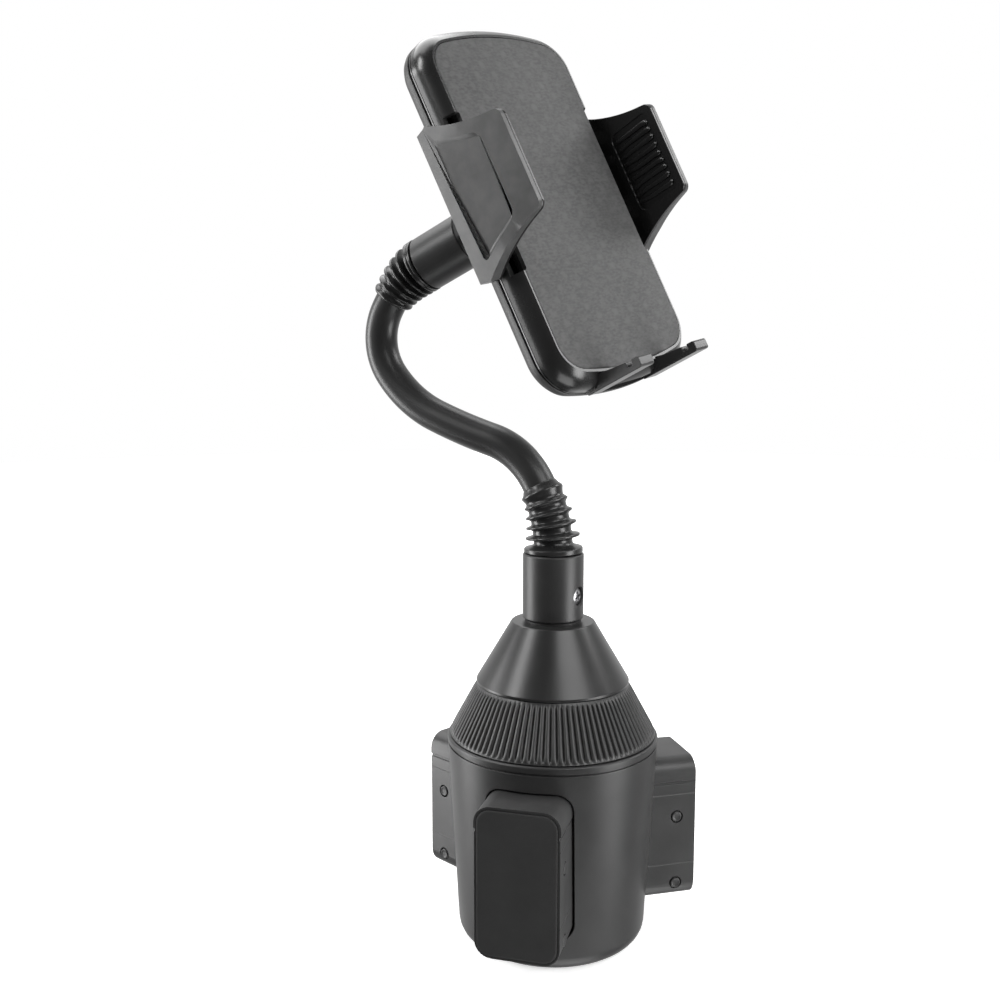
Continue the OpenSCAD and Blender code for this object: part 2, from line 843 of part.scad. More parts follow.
// Plate of a jaw's outline between two distances from the middle of the cradle
module jaw_plate(w0, w1) {
    translate([w0, 0, 0]) rotate([90, 0, 90]) linear_extrude(w1 - w0)
        mirror([1, 0]) rotate([0, 0, 90]) jaw_outline();
}

// Toothed bar and plain guide bar of the right jaw
module jaw_bars() {
    translate([0, 0, bar_n]) linear_extrude(bar_t) {
        translate([0, -gear_r]) mirror([0, 1]) rack_outline(-bar_end, jaw_in + liner_t + 0.5, bar_h);
        translate([guide_bar_end, guide_bar_low])
            square([jaw_in + liner_t + 0.5 - guide_bar_end, guide_bar_h]);
    }
}

// Right jaw in cradle axes, with its middle at jaw_mid along the phone
module jaw_body() {
    translate([0, jaw_mid, 0]) {
        difference() {
            jaw_plate(jaw_in + liner_t, jaw_in + jaw_t);
            jaw_scoop();
        }
        jaw_bars();
    }
}

// Rubber liner of the right jaw, ribbed near the tip
module jaw_liner() {
    translate([0, jaw_mid, 0]) {
        difference() {
            jaw_plate(jaw_in, jaw_in + liner_t);
            jaw_bars();
        }
        for (i = [0 : grip_ribs_n - 1])
            translate([jaw_in + 0.35, (i - (grip_ribs_n - 1) / 2) * grip_pitch, 4])
                intersection() {
                    cylinder(r = 0.8, h = 10.6, $fn = 24);
                    translate([-2, -1, 0]) cube([2.2, 2, 11]);
                }
    }
}

// Left-hand copy: half a turn about the pinion axis
module opposite_jaw() {
    translate([0, jaw_mid, 0]) rotate([0, 0, 180]) translate([0, -jaw_mid, 0]) children();
}

module jaw_right() {
    color("#5b5b5e") cradle_place() jaw_body();
}

module jaw_left() {
    color("#5b5b5e") cradle_place() opposite_jaw() jaw_body();
}

module jaw_right_pad() {
    color("#161617") cradle_place() jaw_liner();
}

module jaw_left_pad() {
    color("#161617") cradle_place() opposite_jaw() jaw_liner();
}

// Spring between the end of the right jaw's rack and the far wall
module jaw_spring() {
    spring_l = body_w / 2 - shell_t - bar_end - 0.4;
    translate([-bar_end - 0.2, jaw_mid - rack_root - bar_h / 2, bar_n + bar_t / 2])
        rotate([0, -90, 0]) translate([0, 0, 0.25]) coil(1.7, 0.25, spring_l - 0.5, 6);
}

module jaw_spring_right() {
    color("silver") cradle_place() jaw_spring();
}

module jaw_spring_left() {
    color("silver") cradle_place() opposite_jaw() jaw_spring();
}

// ---------- foot bracket and release button ----------

// Side view of a prong: x is the depth n, y is along the phone
module prong_outline() {
    lip_n = prong_tip_n - prong_lip_t;
    slot_n = lip_n - prong_slot_w;
    polygon([[tongue_n, prong_low], [prong_tip_n, prong_low],
             [prong_tip_n, prong_low + prong_lip_h], [lip_n, prong_low + prong_lip_h],
             [lip_n, prong_low + prong_slot_floor], [slot_n, prong_low + prong_slot_floor],
             [slot_n, prong_low + prong_lip_h], [0, prong_top], [tongue_n, prong_top]]);
}

module foot_bracket() {
    color("#1b1b1c") cradle_place() {
        for (side = [-1, 1])
            translate([side * prong_at - prong_w / 2, 0, 0]) rotate([90, 0, 90])
                linear_extrude(prong_w) mirror([1, 0]) rotate([0, 0, 90]) prong_outline();
        translate([-tongue_w / 2, -body_l / 2 + 1, tongue_n])
            cube([tongue_w, body_l / 2 - 1 + tongue_top, tongue_t]);
    }
}

module button_opening() {
    translate([body_w / 2 - 6, button_u - button_w / 2 - slide_gap,
               button_n - button_t / 2 - slide_gap])
        cube([10, button_w + 2 * slide_gap, button_t + 2 * slide_gap]);
}

// Fixed rib that the button's spring pushes against, with a slot for the stem
module button_stop() {
    rib_h = 7.2;
    rib_top_n = -5;
    slot_h = button_stem_w + 2 * slide_gap;
    slot_t = button_stem_t + 2 * slide_gap;
    difference() {
        translate([button_stop_w - 1, button_u - rib_h / 2, back_n + 1])
            cube([1, rib_h, rib_top_n - back_n - 1]);
        translate([button_stop_w - 2, button_u - slot_h / 2, button_n - slot_t / 2])
            cube([3, slot_h, slot_t]);
    }
}

module release_button() {
    hook_l = 18;
    color("#3a3a3c") cradle_place() translate([body_w / 2 - button_in, button_u, button_n]) {
        translate([0, -button_w / 2, -button_t / 2])
            cube([button_in + button_out, button_w, button_t]);
        translate([-button_stem_l, -button_stem_w / 2, -button_stem_t / 2])
            cube([button_stem_l + 0.5, button_stem_w, button_stem_t]);
        translate([-button_stem_l, -button_stem_w / 2, -button_stem_t / 2])
            cube([button_stem_w, hook_l, button_stem_t]);
    }
}

module button_spring() {
    spring_l = body_w / 2 - button_in - button_stop_w - 0.2;
    color("silver") cradle_place()
        translate([button_stop_w + 0.1, button_u, button_n]) rotate([0, 90, 0])
            coil(2.4, 0.2, spring_l, 3);
}

can_shell();
foot_pad();
post_screw();
centre_post();
leg_rail_plate();
leg_guide_deck();
cone_cover();
neck_collar();
collar_screw();
neck_ferrule();
neck_core(0);  // neck_core_1
neck_sleeve(0);  // neck_sleeve_1
lower_boot();
leg(0);  // leg_front
leg_pad(0);  // leg_front_pad
leg_pins(0);  // leg_front_pins
leg(1);  // leg_right
leg_pad(1);  // leg_right_pad
leg_pins(1);  // leg_right_pins
leg(2);  // leg_left
leg_pad(2);  // leg_left_pad
leg_pins(2);  // leg_left_pins
expander_ring();
cam_disc();
neck_core(1);  // neck_core_2
neck_sleeve(1);  // neck_sleeve_2
neck_core(2);  // neck_core_3
neck_sleeve(2);  // neck_sleeve_3
neck_core(3);  // neck_core_4
neck_sleeve(3);  // neck_sleeve_4
neck_core(4);  // neck_core_5
neck_sleeve(4);  // neck_sleeve_5
neck_core(5);  // neck_core_6
neck_sleeve(5);  // neck_sleeve_6
upper_boot();
top_collar();
ball_stud();
ball_seat();
ball_socket();
socket_keeper();
keeper_screw();
lock_nut();
cradle_back();
cradle_frame();
cradle_pad();
cradle_screws();
pinion_screw();
jaw_left();
jaw_left_pad();
jaw_right();
jaw_right_pad();
jaw_pinion();
jaw_spring_left();
jaw_spring_right();
foot_bracket();
release_button();
button_spring();
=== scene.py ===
"""Looks for the car phone mount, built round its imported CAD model.

Lengths are in millimetres until a mesh is made, and every piece stands where the CAD
part it replaces stands.
"""

import json
import math

import bmesh
import bpy
from mathutils import Matrix, Vector


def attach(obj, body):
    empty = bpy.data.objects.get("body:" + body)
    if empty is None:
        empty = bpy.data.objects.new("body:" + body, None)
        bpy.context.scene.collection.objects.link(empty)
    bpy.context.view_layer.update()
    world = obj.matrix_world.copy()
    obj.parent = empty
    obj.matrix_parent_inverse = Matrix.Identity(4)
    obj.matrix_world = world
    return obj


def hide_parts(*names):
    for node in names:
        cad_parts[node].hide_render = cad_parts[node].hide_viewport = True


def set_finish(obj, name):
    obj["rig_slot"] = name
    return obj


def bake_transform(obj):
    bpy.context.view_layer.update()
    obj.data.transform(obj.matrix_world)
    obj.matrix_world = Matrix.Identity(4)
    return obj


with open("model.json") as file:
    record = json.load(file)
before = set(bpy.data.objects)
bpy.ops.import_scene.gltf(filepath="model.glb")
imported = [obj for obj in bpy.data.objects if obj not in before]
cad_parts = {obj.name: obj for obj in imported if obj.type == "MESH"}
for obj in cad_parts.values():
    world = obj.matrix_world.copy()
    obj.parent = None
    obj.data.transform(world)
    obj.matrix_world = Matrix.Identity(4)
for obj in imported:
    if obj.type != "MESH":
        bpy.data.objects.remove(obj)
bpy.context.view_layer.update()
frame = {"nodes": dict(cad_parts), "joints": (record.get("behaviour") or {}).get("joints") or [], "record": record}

MM = 0.001
JOINTS = {joint["name"]: joint for joint in frame["joints"]}
MOUNTS = {mount["name"]: mount for mount in frame["record"]["mounts"]}
SLOT_OF = {part["node"]: part["material_slot"] for part in frame["record"]["subparts"]}

# Cup base
CAN_R = 33.5
CAN_H = 66.5
CAN_FOOT_R = 30.1
CAN_ROUND = 6
CAN_WALL = 2.2
GROOVE_Z = 63.7
DECK_Z = 58.3
FOOT_PAD_R = 22
FOOT_PAD_T = 1.2

# Expander ring, cone and collar
RING_Z = 66.9
RING_TOP_Z = 83
RING_FOOT_R = 32.6
RING_TOP_R = 23.8
RIBS = 96
RIB_PROUD = 0.5
POST_R = 6.55
CONE_Z = 83.3
CONE_TOP_Z = 102.8
CONE_FOOT_R = 24.2
CONE_TOP_R = 13.1
COLLAR_R = 9.6
COLLAR_TOP_Z = 124.5
COLLAR_SCREW_Z = 111.5
COLLAR_SCREW_TURN = 57

# Legs, measured from the base axis and from the leg's underside
LEG_IN = 18.5
LEG_OUT = 44.3
LEG_REACH = 44.9
LEG_PAD_T = 3.1
LEG_RIM = 0.9
LEG_W = 26.2
LEG_H = 46.6
LEG_Z = 11.1
LEG_ROUND = 5.2
PIN_R = 1.7
PIN_AT = 38
PIN_ZS = (16.4, 38.8)

# Neck: bend of each stretch in degrees, then a straight head
BENDS = (27.6, 46.9, -6.5, -30.7, -64.5, -37.4)
LENGTHS = (22, 21.8, 21.8, 21.8, 21.8, 21.8)
LEAN = 28
NECK_R = 5.3
NECK_BORE = 4.2
TOP_COLLAR_R = 8.7
TOP_COLLAR_L = 17.6

# Ball joint
NUT_R = 13
NUT_RIBS = 24
NUT_BACK = -6.2
NUT_FRONT = 1.8
NUT_BORE = 10.95
NUT_MOUTH = 8.9

# Cradle, measured from the centre of the pad's face: across, along the phone, out of the pad
PAD_W = 56.2
PAD_L = 105.6
RIM = 3
END_RIM = 4.6
BODY_W = 62.2
BODY_L = 114.8
BODY_ROUND = 11.8
CROWN_R = 110
BACK_N = -12.85
BALL_UP = 6.5
BALL_HOLE_R = 7.05
SEAM_N = -8
RIM_FOOT_N = -5.6
RIM_BEND_N = -2.4
JAW_MID = 4.7
NOTCH_H = 48.6
NOTCH_IN = 27.3
JAW_IN = 31.8
JAW_T = 4.4
LINER_T = 1
JAW_BACK_N = -10.2
JAW_REACH = 19
JAW_BACK_H = 23.2
JAW_TIP_H = 14.8
JAW_CORNER = 2.5
BAR_N = -7.6
BAR_T = 4.2
PRONG_AT = 13.3
PRONG_W = 6
PRONG_LOW = -57.2
PRONG_TOP = -53.1
PRONG_TIP_N = 14.4
TONGUE_N = -7.4
TONGUE_T = 3.6
TONGUE_W = 34
BUTTON_U = -33
BUTTON_N = -8


# ---------- places ----------

def joint_point(name):
    return Vector(JOINTS[name]["pos_m"]) / MM


def joint_axis(name):
    return Vector(JOINTS[name]["axis"])


def place_from(origin, x_axis, y_axis, z_axis):
    """Placement with the given origin and axes."""
    return Matrix.Translation(origin) @ Matrix((x_axis, y_axis, z_axis)).transposed().to_4x4()


UP = Vector((0, 0, 1))
CRADLE_AXES = (joint_axis("ball_tilt"), joint_axis("ball_pan"), joint_axis("cradle_spin"))
BALL_PLACE = place_from(joint_point("cradle_spin"), *CRADLE_AXES)
CRADLE_PLACE = place_from(Vector(MOUNTS["phone_rest"]["pos_m"]) / MM, *CRADLE_AXES)
AT_JAWS = Matrix.Translation((0, JAW_MID, 0))
HALF_TURN = AT_JAWS @ Matrix.Rotation(math.pi, 4, "Z") @ AT_JAWS.inverted()


def leg_place(side):
    """Placement of a leg: x out along its slide, z up from the base's underside."""
    out = joint_axis(side + "_leg_slide")
    return place_from(Vector(), out, UP.cross(out), UP)


# ---------- outlines ----------

def fillet(corners, steps=5):
    """Closed outline through corners (x, y, radius), each one rounded to its radius."""
    outline = []
    for i, (x, y, radius) in enumerate(corners):
        here = Vector((x, y))
        if not radius:
            outline.append(here)
            continue
        to_last = (Vector(corners[i - 1][:2]) - here).normalized()
        to_next = (Vector(corners[(i + 1) % len(corners)][:2]) - here).normalized()
        half = to_last.angle(to_next) / 2
        start = here + to_last * radius / math.tan(half)
        centre = here + (to_last + to_next).normalized() * radius / math.sin(half)
        first = start - centre
        last = here + to_next * radius / math.tan(half) - centre
        turn = math.atan2(first.x * last.y - first.y * last.x, first.dot(last))
        for k in range(steps + 1):
            outline.append(centre + Matrix.Rotation(turn * k / steps, 2) @ first)
    return outline


def round_box(w, h, r, steps=6):
    """Rectangle centred on the origin with rounded corners."""
    return fillet([(w / 2, -h / 2, r), (w / 2, h / 2, r), (-w / 2, h / 2, r), (-w / 2, -h / 2, r)], steps)


def disc(r, steps=48):
    return [Vector((r * math.cos(a), r * math.sin(a)))
            for a in (2 * math.pi * k / steps for k in range(steps))]


def crowned(w, l, r, inset=0, steps=14):
    """Cradle outline: straight sides, gently crowned ends and corners that run into both."""
    half_w = w / 2 - inset
    corner = r - inset
    crown_foot = l / 2 - inset - CROWN_R
    corner_x = half_w - corner
    corner_y = crown_foot + math.sqrt((CROWN_R - corner) ** 2 - corner_x ** 2)
    lean = math.asin(corner_x / (CROWN_R - corner))
    quarter = []
    for k in range(steps + 1):
        a = (math.pi / 2 - lean) * k / steps
        quarter.append(Vector((corner_x + corner * math.cos(a), corner_y + corner * math.sin(a))))
    for k in range(1, steps + 1):
        a = lean * (1 - k / steps)
        quarter.append(Vector((CROWN_R * math.sin(a), crown_foot + CROWN_R * math.cos(a))))
    top = quarter + [Vector((-p.x, p.y)) for p in reversed(quarter[:-1])]
    return top + [Vector((-p.x, -p.y)) for p in top]


# ---------- meshes ----------

def grid_faces(rows, cols, close_rows):
    """Faces between rows of points; each row closes on itself."""
    faces = []
    for i in range(rows if close_rows else rows - 1):
        for j in range(cols):
            a = i * cols
            b = (i + 1) % rows * cols
            k = (j + 1) % cols
            faces.append((a + j, a + k, b + k, b + j))
    return faces


def skin(rings, close_rows=False):
    """Points and faces over closed rings of equal length, with flat ends unless the rows close."""
    points = [Vector(p) for ring in rings for p in ring]
    cols = len(rings[0])
    faces = grid_faces(len(rings), cols, close_rows)
    if not close_rows:
        faces.append(tuple(reversed(range(cols))))
        faces.append(tuple(range(len(points) - cols, len(points))))
    return points, faces


def turned(profile, steps=128, swell=None):
    """Body of revolution about z from a closed (r, z) profile; swell(a, i) adds to radius i."""
    rings = []
    for k in range(steps):
        a = 2 * math.pi * k / steps
        ring = []
        for i, (r, z) in enumerate(profile):
            r += swell(a, i) if swell else 0
            ring.append((r * math.cos(a), r * math.sin(a), z))
        rings.append(ring)
    return skin(rings, close_rows=True)


def prism(outline, low, high):
    """Straight extrusion of an (x, y) outline between two z."""
    return skin([[(p[0], p[1], z) for p in outline] for z in (low, high)])


def stack(layers):
    """Skin over (outline, z) layers of equal point count."""
    return skin([[(p[0], p[1], z) for p in outline] for outline, z in layers])


def moved(shape, place):
    points, faces = shape
    return [place @ p for p in points], faces


def together(*shapes):
    """Several shapes as one."""
    points = []
    faces = []
    for some_points, some_faces in shapes:
        start = len(points)
        points += some_points
        faces += [tuple(start + i for i in face) for face in some_faces]
    return points, faces


# Turns an outline drawn as (out of the pad, along the phone) to stand across the cradle
SIDEWAYS = Matrix(((0, 0, 1, 0), (0, 1, 0, 0), (1, 0, 0, 0), (0, 0, 0, 1)))
# Turns an outline drawn as (y, z) to run along x
ALONG_X = Matrix(((0, 0, 1, 0), (1, 0, 0, 0), (0, 1, 0, 0), (0, 0, 0, 1)))


def clean(mesh):
    """Merge coincident points and turn all faces outwards."""
    work = bmesh.new()
    work.from_mesh(mesh)
    bmesh.ops.remove_doubles(work, verts=work.verts, dist=1e-7)
    bmesh.ops.recalc_face_normals(work, faces=work.faces)
    work.to_mesh(mesh)
    work.free()


def build(name, shape, place=None):
    """Object in metres from a shape in millimetres."""
    points, faces = moved(shape, place) if place else shape
    mesh = bpy.data.meshes.new(name)
    mesh.from_pydata([p * MM for p in points], [], faces)
    clean(mesh)
    obj = bpy.data.objects.new(name, mesh)
    bpy.context.scene.collection.objects.link(obj)
    return obj


def settle(obj):
    """Turn an object's modifiers into its mesh."""
    depsgraph = bpy.context.evaluated_depsgraph_get()
    mesh = bpy.data.meshes.new_from_object(obj.evaluated_get(depsgraph))
    obj.modifiers.clear()
    obj.data = mesh


def carve(obj, shape, place=None):
    """Cut a shape out of an object."""
    cutter = build("cutter", shape, place)
    cut = obj.modifiers.new("cut", "BOOLEAN")
    cut.operation = "DIFFERENCE"
    cut.solver = "EXACT"
    cut.object = cutter
    settle(obj)
    bpy.data.objects.remove(cutter)


def soften(obj, width, steps=2, angle=35):
    """Round the edges sharper than an angle."""
    bevel = obj.modifiers.new("soften", "BEVEL")
    bevel.width = width * MM
    bevel.segments = steps
    bevel.limit_method = "ANGLE"
    bevel.angle_limit = math.radians(angle)
    bevel.miter_outer = "MITER_ARC"
    settle(obj)


def shade(obj, angle=32):
    """Smooth shading, led by the larger faces and broken at edges sharper than an angle."""
    obj.data.shade_smooth()
    obj.data.set_sharp_from_angle(angle=math.radians(angle))
    even = obj.modifiers.new("even", "WEIGHTED_NORMAL")
    even.keep_sharp = True
    settle(obj)


# ---------- materials ----------

class Nodes:
    """Small helper that adds and links nodes of one material."""

    def __init__(self, name):
        self.material = bpy.data.materials.new(name)
        self.material.use_nodes = True
        self.tree = self.material.node_tree
        self.shader = self.tree.nodes["Principled BSDF"]
        self.position = self.add("ShaderNodeTexCoord").outputs["Object"]

    def add(self, kind, inputs=None, **settings):
        node = self.tree.nodes.new(kind)
        for key, value in settings.items():
            setattr(node, key, value)
        for key, value in (inputs or {}).items():
            self.put(node.inputs[key], value)
        return node

    def put(self, socket, value):
        if isinstance(value, bpy.types.NodeSocket):
            self.tree.links.new(value, socket)
        else:
            socket.default_value = value

    def along(self, axes, stretch):
        """Object position measured along three axes, for patterns that follow a tilted part."""
        parts = {i: self.add("ShaderNodeVectorMath", {0: self.position, 1: axis * factor},
                             operation="DOT_PRODUCT").outputs["Value"]
                 for i, (axis, factor) in enumerate(zip(axes, stretch))}
        return self.add("ShaderNodeCombineXYZ", parts).outputs[0]

    def noise(self, scale, detail=3.0, stretch=None, vector=None):
        """Noise with features about 1 / scale metres across."""
        vector = vector or self.position
        if stretch:
            vector = self.add("ShaderNodeMapping", {"Vector": vector, "Scale": stretch}).outputs[0]
        inputs = {"Vector": vector, "Scale": scale, "Detail": detail}
        return self.add("ShaderNodeTexNoise", inputs).outputs["Fac"]

    def spread(self, value, low, high, at=(0.3, 0.7)):
        """Value remapped from the range at to low and high."""
        return self.add("ShaderNodeMapRange", {
            "Value": value, "From Min": at[0], "From Max": at[1], "To Min": low, "To Max": high,
        }).outputs["Result"]

    def mix(self, factor, first, second):
        node = self.add("ShaderNodeMix", data_type="RGBA")
        self.put(node.inputs[0], factor)
        self.put(node.inputs[6], first)
        self.put(node.inputs[7], second)
        return node.outputs[2]

    def wave(self, axis, pitch):
        """Sine along a direction, repeating every pitch millimetres."""
        turns = 2 * math.pi / (pitch * MM)
        inputs = {0: self.position, 1: axis * turns}
        along = self.add("ShaderNodeVectorMath", inputs, operation="DOT_PRODUCT")
        return self.maths("SINE", along.outputs["Value"])

    def maths(self, operation, first, second=0.0):
        return self.add("ShaderNodeMath", {0: first, 1: second}, operation=operation).outputs[0]

    def bump(self, height, depth, strength=1.0, normal=None):
        inputs = {"Height": height, "Distance": depth * MM, "Strength": strength}
        if normal:
            inputs["Normal"] = normal
        return self.add("ShaderNodeBump", inputs).outputs["Normal"]

    def finish(self, colour, roughness, normal, **constants):
        for key, value in {"Base Color": colour, "Roughness": roughness, "Normal": normal}.items():
            self.put(self.shader.inputs[key], value)
        for key, value in constants.items():
            self.shader.inputs[key.replace("_", " ")].default_value = value
        return self.material


def grey(value):
    return (value, value, value, 1)


def moulded(name, value, rough, grain=0.012, grain_scale=2600, mottle=0.14, wear=0.0, **constants):
    """Moulded plastic or rubber: faint mottling, fine grain, uneven polish and rubbed edges."""
    nodes = Nodes(name)
    patches = nodes.spread(nodes.noise(70), 0, 1)
    colour = nodes.mix(patches, grey(value * (1 - mottle)), grey(value * (1 + mottle)))
    if wear:
        edge = nodes.add("ShaderNodeNewGeometry").outputs["Pointiness"]
        raised = nodes.spread(edge, 0, 1, (0.52, 0.62))
        rubbed = nodes.maths("MULTIPLY", raised, nodes.spread(nodes.noise(220), 0, wear))
        colour = nodes.mix(rubbed, colour, grey(value * 2.2 + 0.02))
    smears = nodes.noise(38, 5.0)
    roughness = nodes.spread(smears, rough * 0.88, rough * 1.14)
    normal = nodes.bump(nodes.noise(grain_scale, 2.0), grain)
    return nodes.finish(colour, roughness, normal, **constants)


def woven_pad(name):
    """Rubber pad with a fine uneven weave and a lattice of soft paler spots."""
    nodes = Nodes(name)
    across, along = CRADLE_AXES[:2]
    threads = nodes.noise(1500, 2.5, vector=nodes.along(CRADLE_AXES, (0.5, 1, 1)))
    thread = nodes.spread(threads, 0, 1, (0.34, 0.66))
    rows = nodes.spread(nodes.wave(along, 1.9), 0.94, 1.04, (-1, 1))
    lattice = nodes.maths("MULTIPLY", nodes.wave(across, 7.4), nodes.wave(along, 7))
    spots = nodes.spread(lattice, 0, 1, (0.3, 1))
    patches = nodes.spread(nodes.noise(55, 4.0), 0, 1)
    dark = nodes.mix(patches, grey(0.056), grey(0.063))
    woven = nodes.mix(nodes.maths("MULTIPLY", thread, rows), dark, grey(0.084))
    faded = nodes.maths("MULTIPLY", spots, nodes.spread(nodes.noise(110, 2.0), 0.3, 0.9))
    colour = nodes.mix(faded, woven, grey(0.098))
    normal = nodes.bump(spots, 0.04, normal=nodes.bump(threads, 0.05))
    roughness = nodes.spread(nodes.noise(45), 0.6, 0.72)
    return nodes.finish(colour, roughness, normal)


def brushed_steel(name):
    nodes = Nodes(name)
    lines = nodes.noise(900, 3.0, stretch=(1, 1, 0.05))
    colour = nodes.mix(nodes.spread(lines, 0, 1), (0.42, 0.42, 0.43, 1), (0.6, 0.6, 0.61, 1))
    roughness = nodes.spread(nodes.noise(120), 0.26, 0.4)
    return nodes.finish(colour, roughness, nodes.bump(lines, 0.01), Metallic=1.0)


MATERIALS = {
    "base_plastic": moulded("satin_black_plastic", 0.026, 0.4, wear=0.35),
    "cone_plastic": moulded("polished_black_plastic", 0.02, 0.3, grain=0.004, wear=0.3),
    "grip_plastic": moulded("knurled_black_plastic", 0.03, 0.36, grain=0.006, wear=0.25),
    "leg_plastic": moulded("leg_black_plastic", 0.034, 0.4, wear=0.35),
    "leg_rubber": moulded("matt_black_rubber", 0.02, 0.72, grain=0.02, mottle=0.2),
    "boot_rubber": moulded("shiny_black_rubber", 0.02, 0.26, grain=0.006, wear=0.2),
    "sleeve_rubber": moulded("satin_sleeve_rubber", 0.026, 0.34, grain=0.01, grain_scale=1400),
    "inner_plastic": moulded("natural_plastic", 0.62, 0.5),
    "dark_inner_plastic": moulded("dark_inner_plastic", 0.09, 0.5),
    "steel": brushed_steel("brushed_steel"),
    "shell_plastic": moulded("satin_grey_shell", 0.045, 0.46, wear=0.3),
    "frame_plastic": moulded("glossy_black_frame", 0.016, 0.27, grain=0.002, wear=0.25,
                             Coat_Weight=0.3, Coat_Roughness=0.2),
    "pad_rubber": woven_pad("woven_pad_rubber"),
    "jaw_plastic": moulded("satin_jaw_plastic", 0.055, 0.36, grain=0.008, mottle=0.06, wear=0.3),
    "jaw_rubber": moulded("ribbed_liner_rubber", 0.011, 0.25, grain=0.006, wear=0.2),
    "bracket_plastic": moulded("shiny_bracket_plastic", 0.045, 0.3, grain=0.006, wear=0.3),
}


# ---------- pieces ----------

def dress(obj, body, *nodes, material=None, angle=32):
    """Give a piece its material, body and the CAD nodes that it stands for."""
    slot = SLOT_OF[nodes[0]]
    obj.data.materials.clear()
    obj.data.materials.append(material or MATERIALS[slot])
    shade(obj, angle)
    if body:
        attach(obj, body)
    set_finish(obj, slot)
    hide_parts(*nodes)
    return obj


def can_radius(z):
    return CAN_FOOT_R + (CAN_R - CAN_FOOT_R) * (z - CAN_ROUND) / (CAN_H - CAN_ROUND)


def leg_opening():
    """Cutter for a leg's opening in the can wall, flared a little where it leaves the wall."""
    gap = 0.4
    flare = 0.3
    rings = []
    for grow, depth in ((0, -14), (0, -flare), (flare, 0.05), (flare, 6)):
        outline = round_box(LEG_W + 2 * (gap + grow), LEG_H + 2 * (gap + grow), LEG_ROUND + gap + grow, 10)
        ring = []
        for y, z in outline:
            z += LEG_Z + LEG_H / 2
            surface = math.sqrt(can_radius(z) ** 2 - y * y)
            ring.append((surface + depth, y, z))
        rings.append(ring)
    return skin(rings)


def make_can():
    rim_in = CAN_R - CAN_WALL
    groove_in = 0.5
    groove_h = 0.7
    deck_r = can_radius(DECK_Z) - CAN_WALL
    profile = fillet([
        (0, FOOT_PAD_T, 0), (FOOT_PAD_R, FOOT_PAD_T, 0), (FOOT_PAD_R, 0, 0.3),
        (CAN_FOOT_R - 0.35, 0, CAN_ROUND - 0.5),
        (can_radius(GROOVE_Z - 0.5), GROOVE_Z - 0.5, 0),
        (can_radius(GROOVE_Z), GROOVE_Z, 0.15), (can_radius(GROOVE_Z) - groove_in, GROOVE_Z + 0.05, 0),
        (can_radius(GROOVE_Z) - groove_in, GROOVE_Z + groove_h - 0.05, 0),
        (can_radius(GROOVE_Z + groove_h), GROOVE_Z + groove_h, 0.15),
        (CAN_R, CAN_H, 0.7), (rim_in, CAN_H, 0.4), (deck_r, DECK_Z, 0),
        (deck_r - 0.9, DECK_Z, 0), (can_radius(6) - CAN_WALL - 0.9, 6, 1), (0, 4, 0),
    ], 6)
    can = build("cup_base_shell", turned(profile, 192))
    for side in ("front", "right", "left"):
        carve(can, leg_opening(), leg_place(side))
    dress(can, "base", "can_shell", angle=28)
    pad = build("foot_pad_disc", turned(fillet([
        (0, 0, 0), (FOOT_PAD_R - 1.5, 0, 0), (FOOT_PAD_R - 0.1, 0.15, 0.5),
        (FOOT_PAD_R - 0.1, FOOT_PAD_T, 0), (0, FOOT_PAD_T, 0),
    ])))
    dress(pad, "base", "foot_pad")


def make_expander():
    """Cone ring with rounded ribs that fade in just above its lower edge and below its top."""
    slope = (RING_TOP_R - RING_FOOT_R) / (RING_TOP_Z - RING_Z)
    heights = (0, 0.35, 0.7, 1.1, 1.6, 2.2, 5, 9, 13, 14.3, 14.8, 15.2, 15.6, 16.1)
    lifts = (0, 0, 0.45, 0.75, 0.93, 1, 1, 1, 1, 0.95, 0.7, 0.35, 0, 0)
    outer = [(RING_FOOT_R + slope * h, RING_Z + h) for h in heights]
    cam_top_z = 64
    skirt_r = 29.4
    inner = [
        (RING_TOP_R - CAN_WALL, RING_TOP_Z), (skirt_r, RING_Z + 1), (skirt_r - 1.5, RING_Z - 0.5),
        (POST_R + 3, RING_Z - 0.5), (POST_R + 3, RING_TOP_Z + 1.2), (POST_R, RING_TOP_Z + 1.2),
        (POST_R, cam_top_z), (skirt_r, cam_top_z), (skirt_r, RING_Z),
    ]

    def ribs(a, i):
        if i >= len(lifts):
            return 0
        off_middle = abs(a * RIBS / 2 / math.pi % 1 - 0.5) * 2
        return (RIB_PROUD - 0.1 - 0.95 * off_middle ** 2.6) * lifts[i]

    ring = build("knurled_expander", turned(outer + inner, RIBS * 10, ribs))
    dress(ring, "expander", "expander_ring", angle=60)


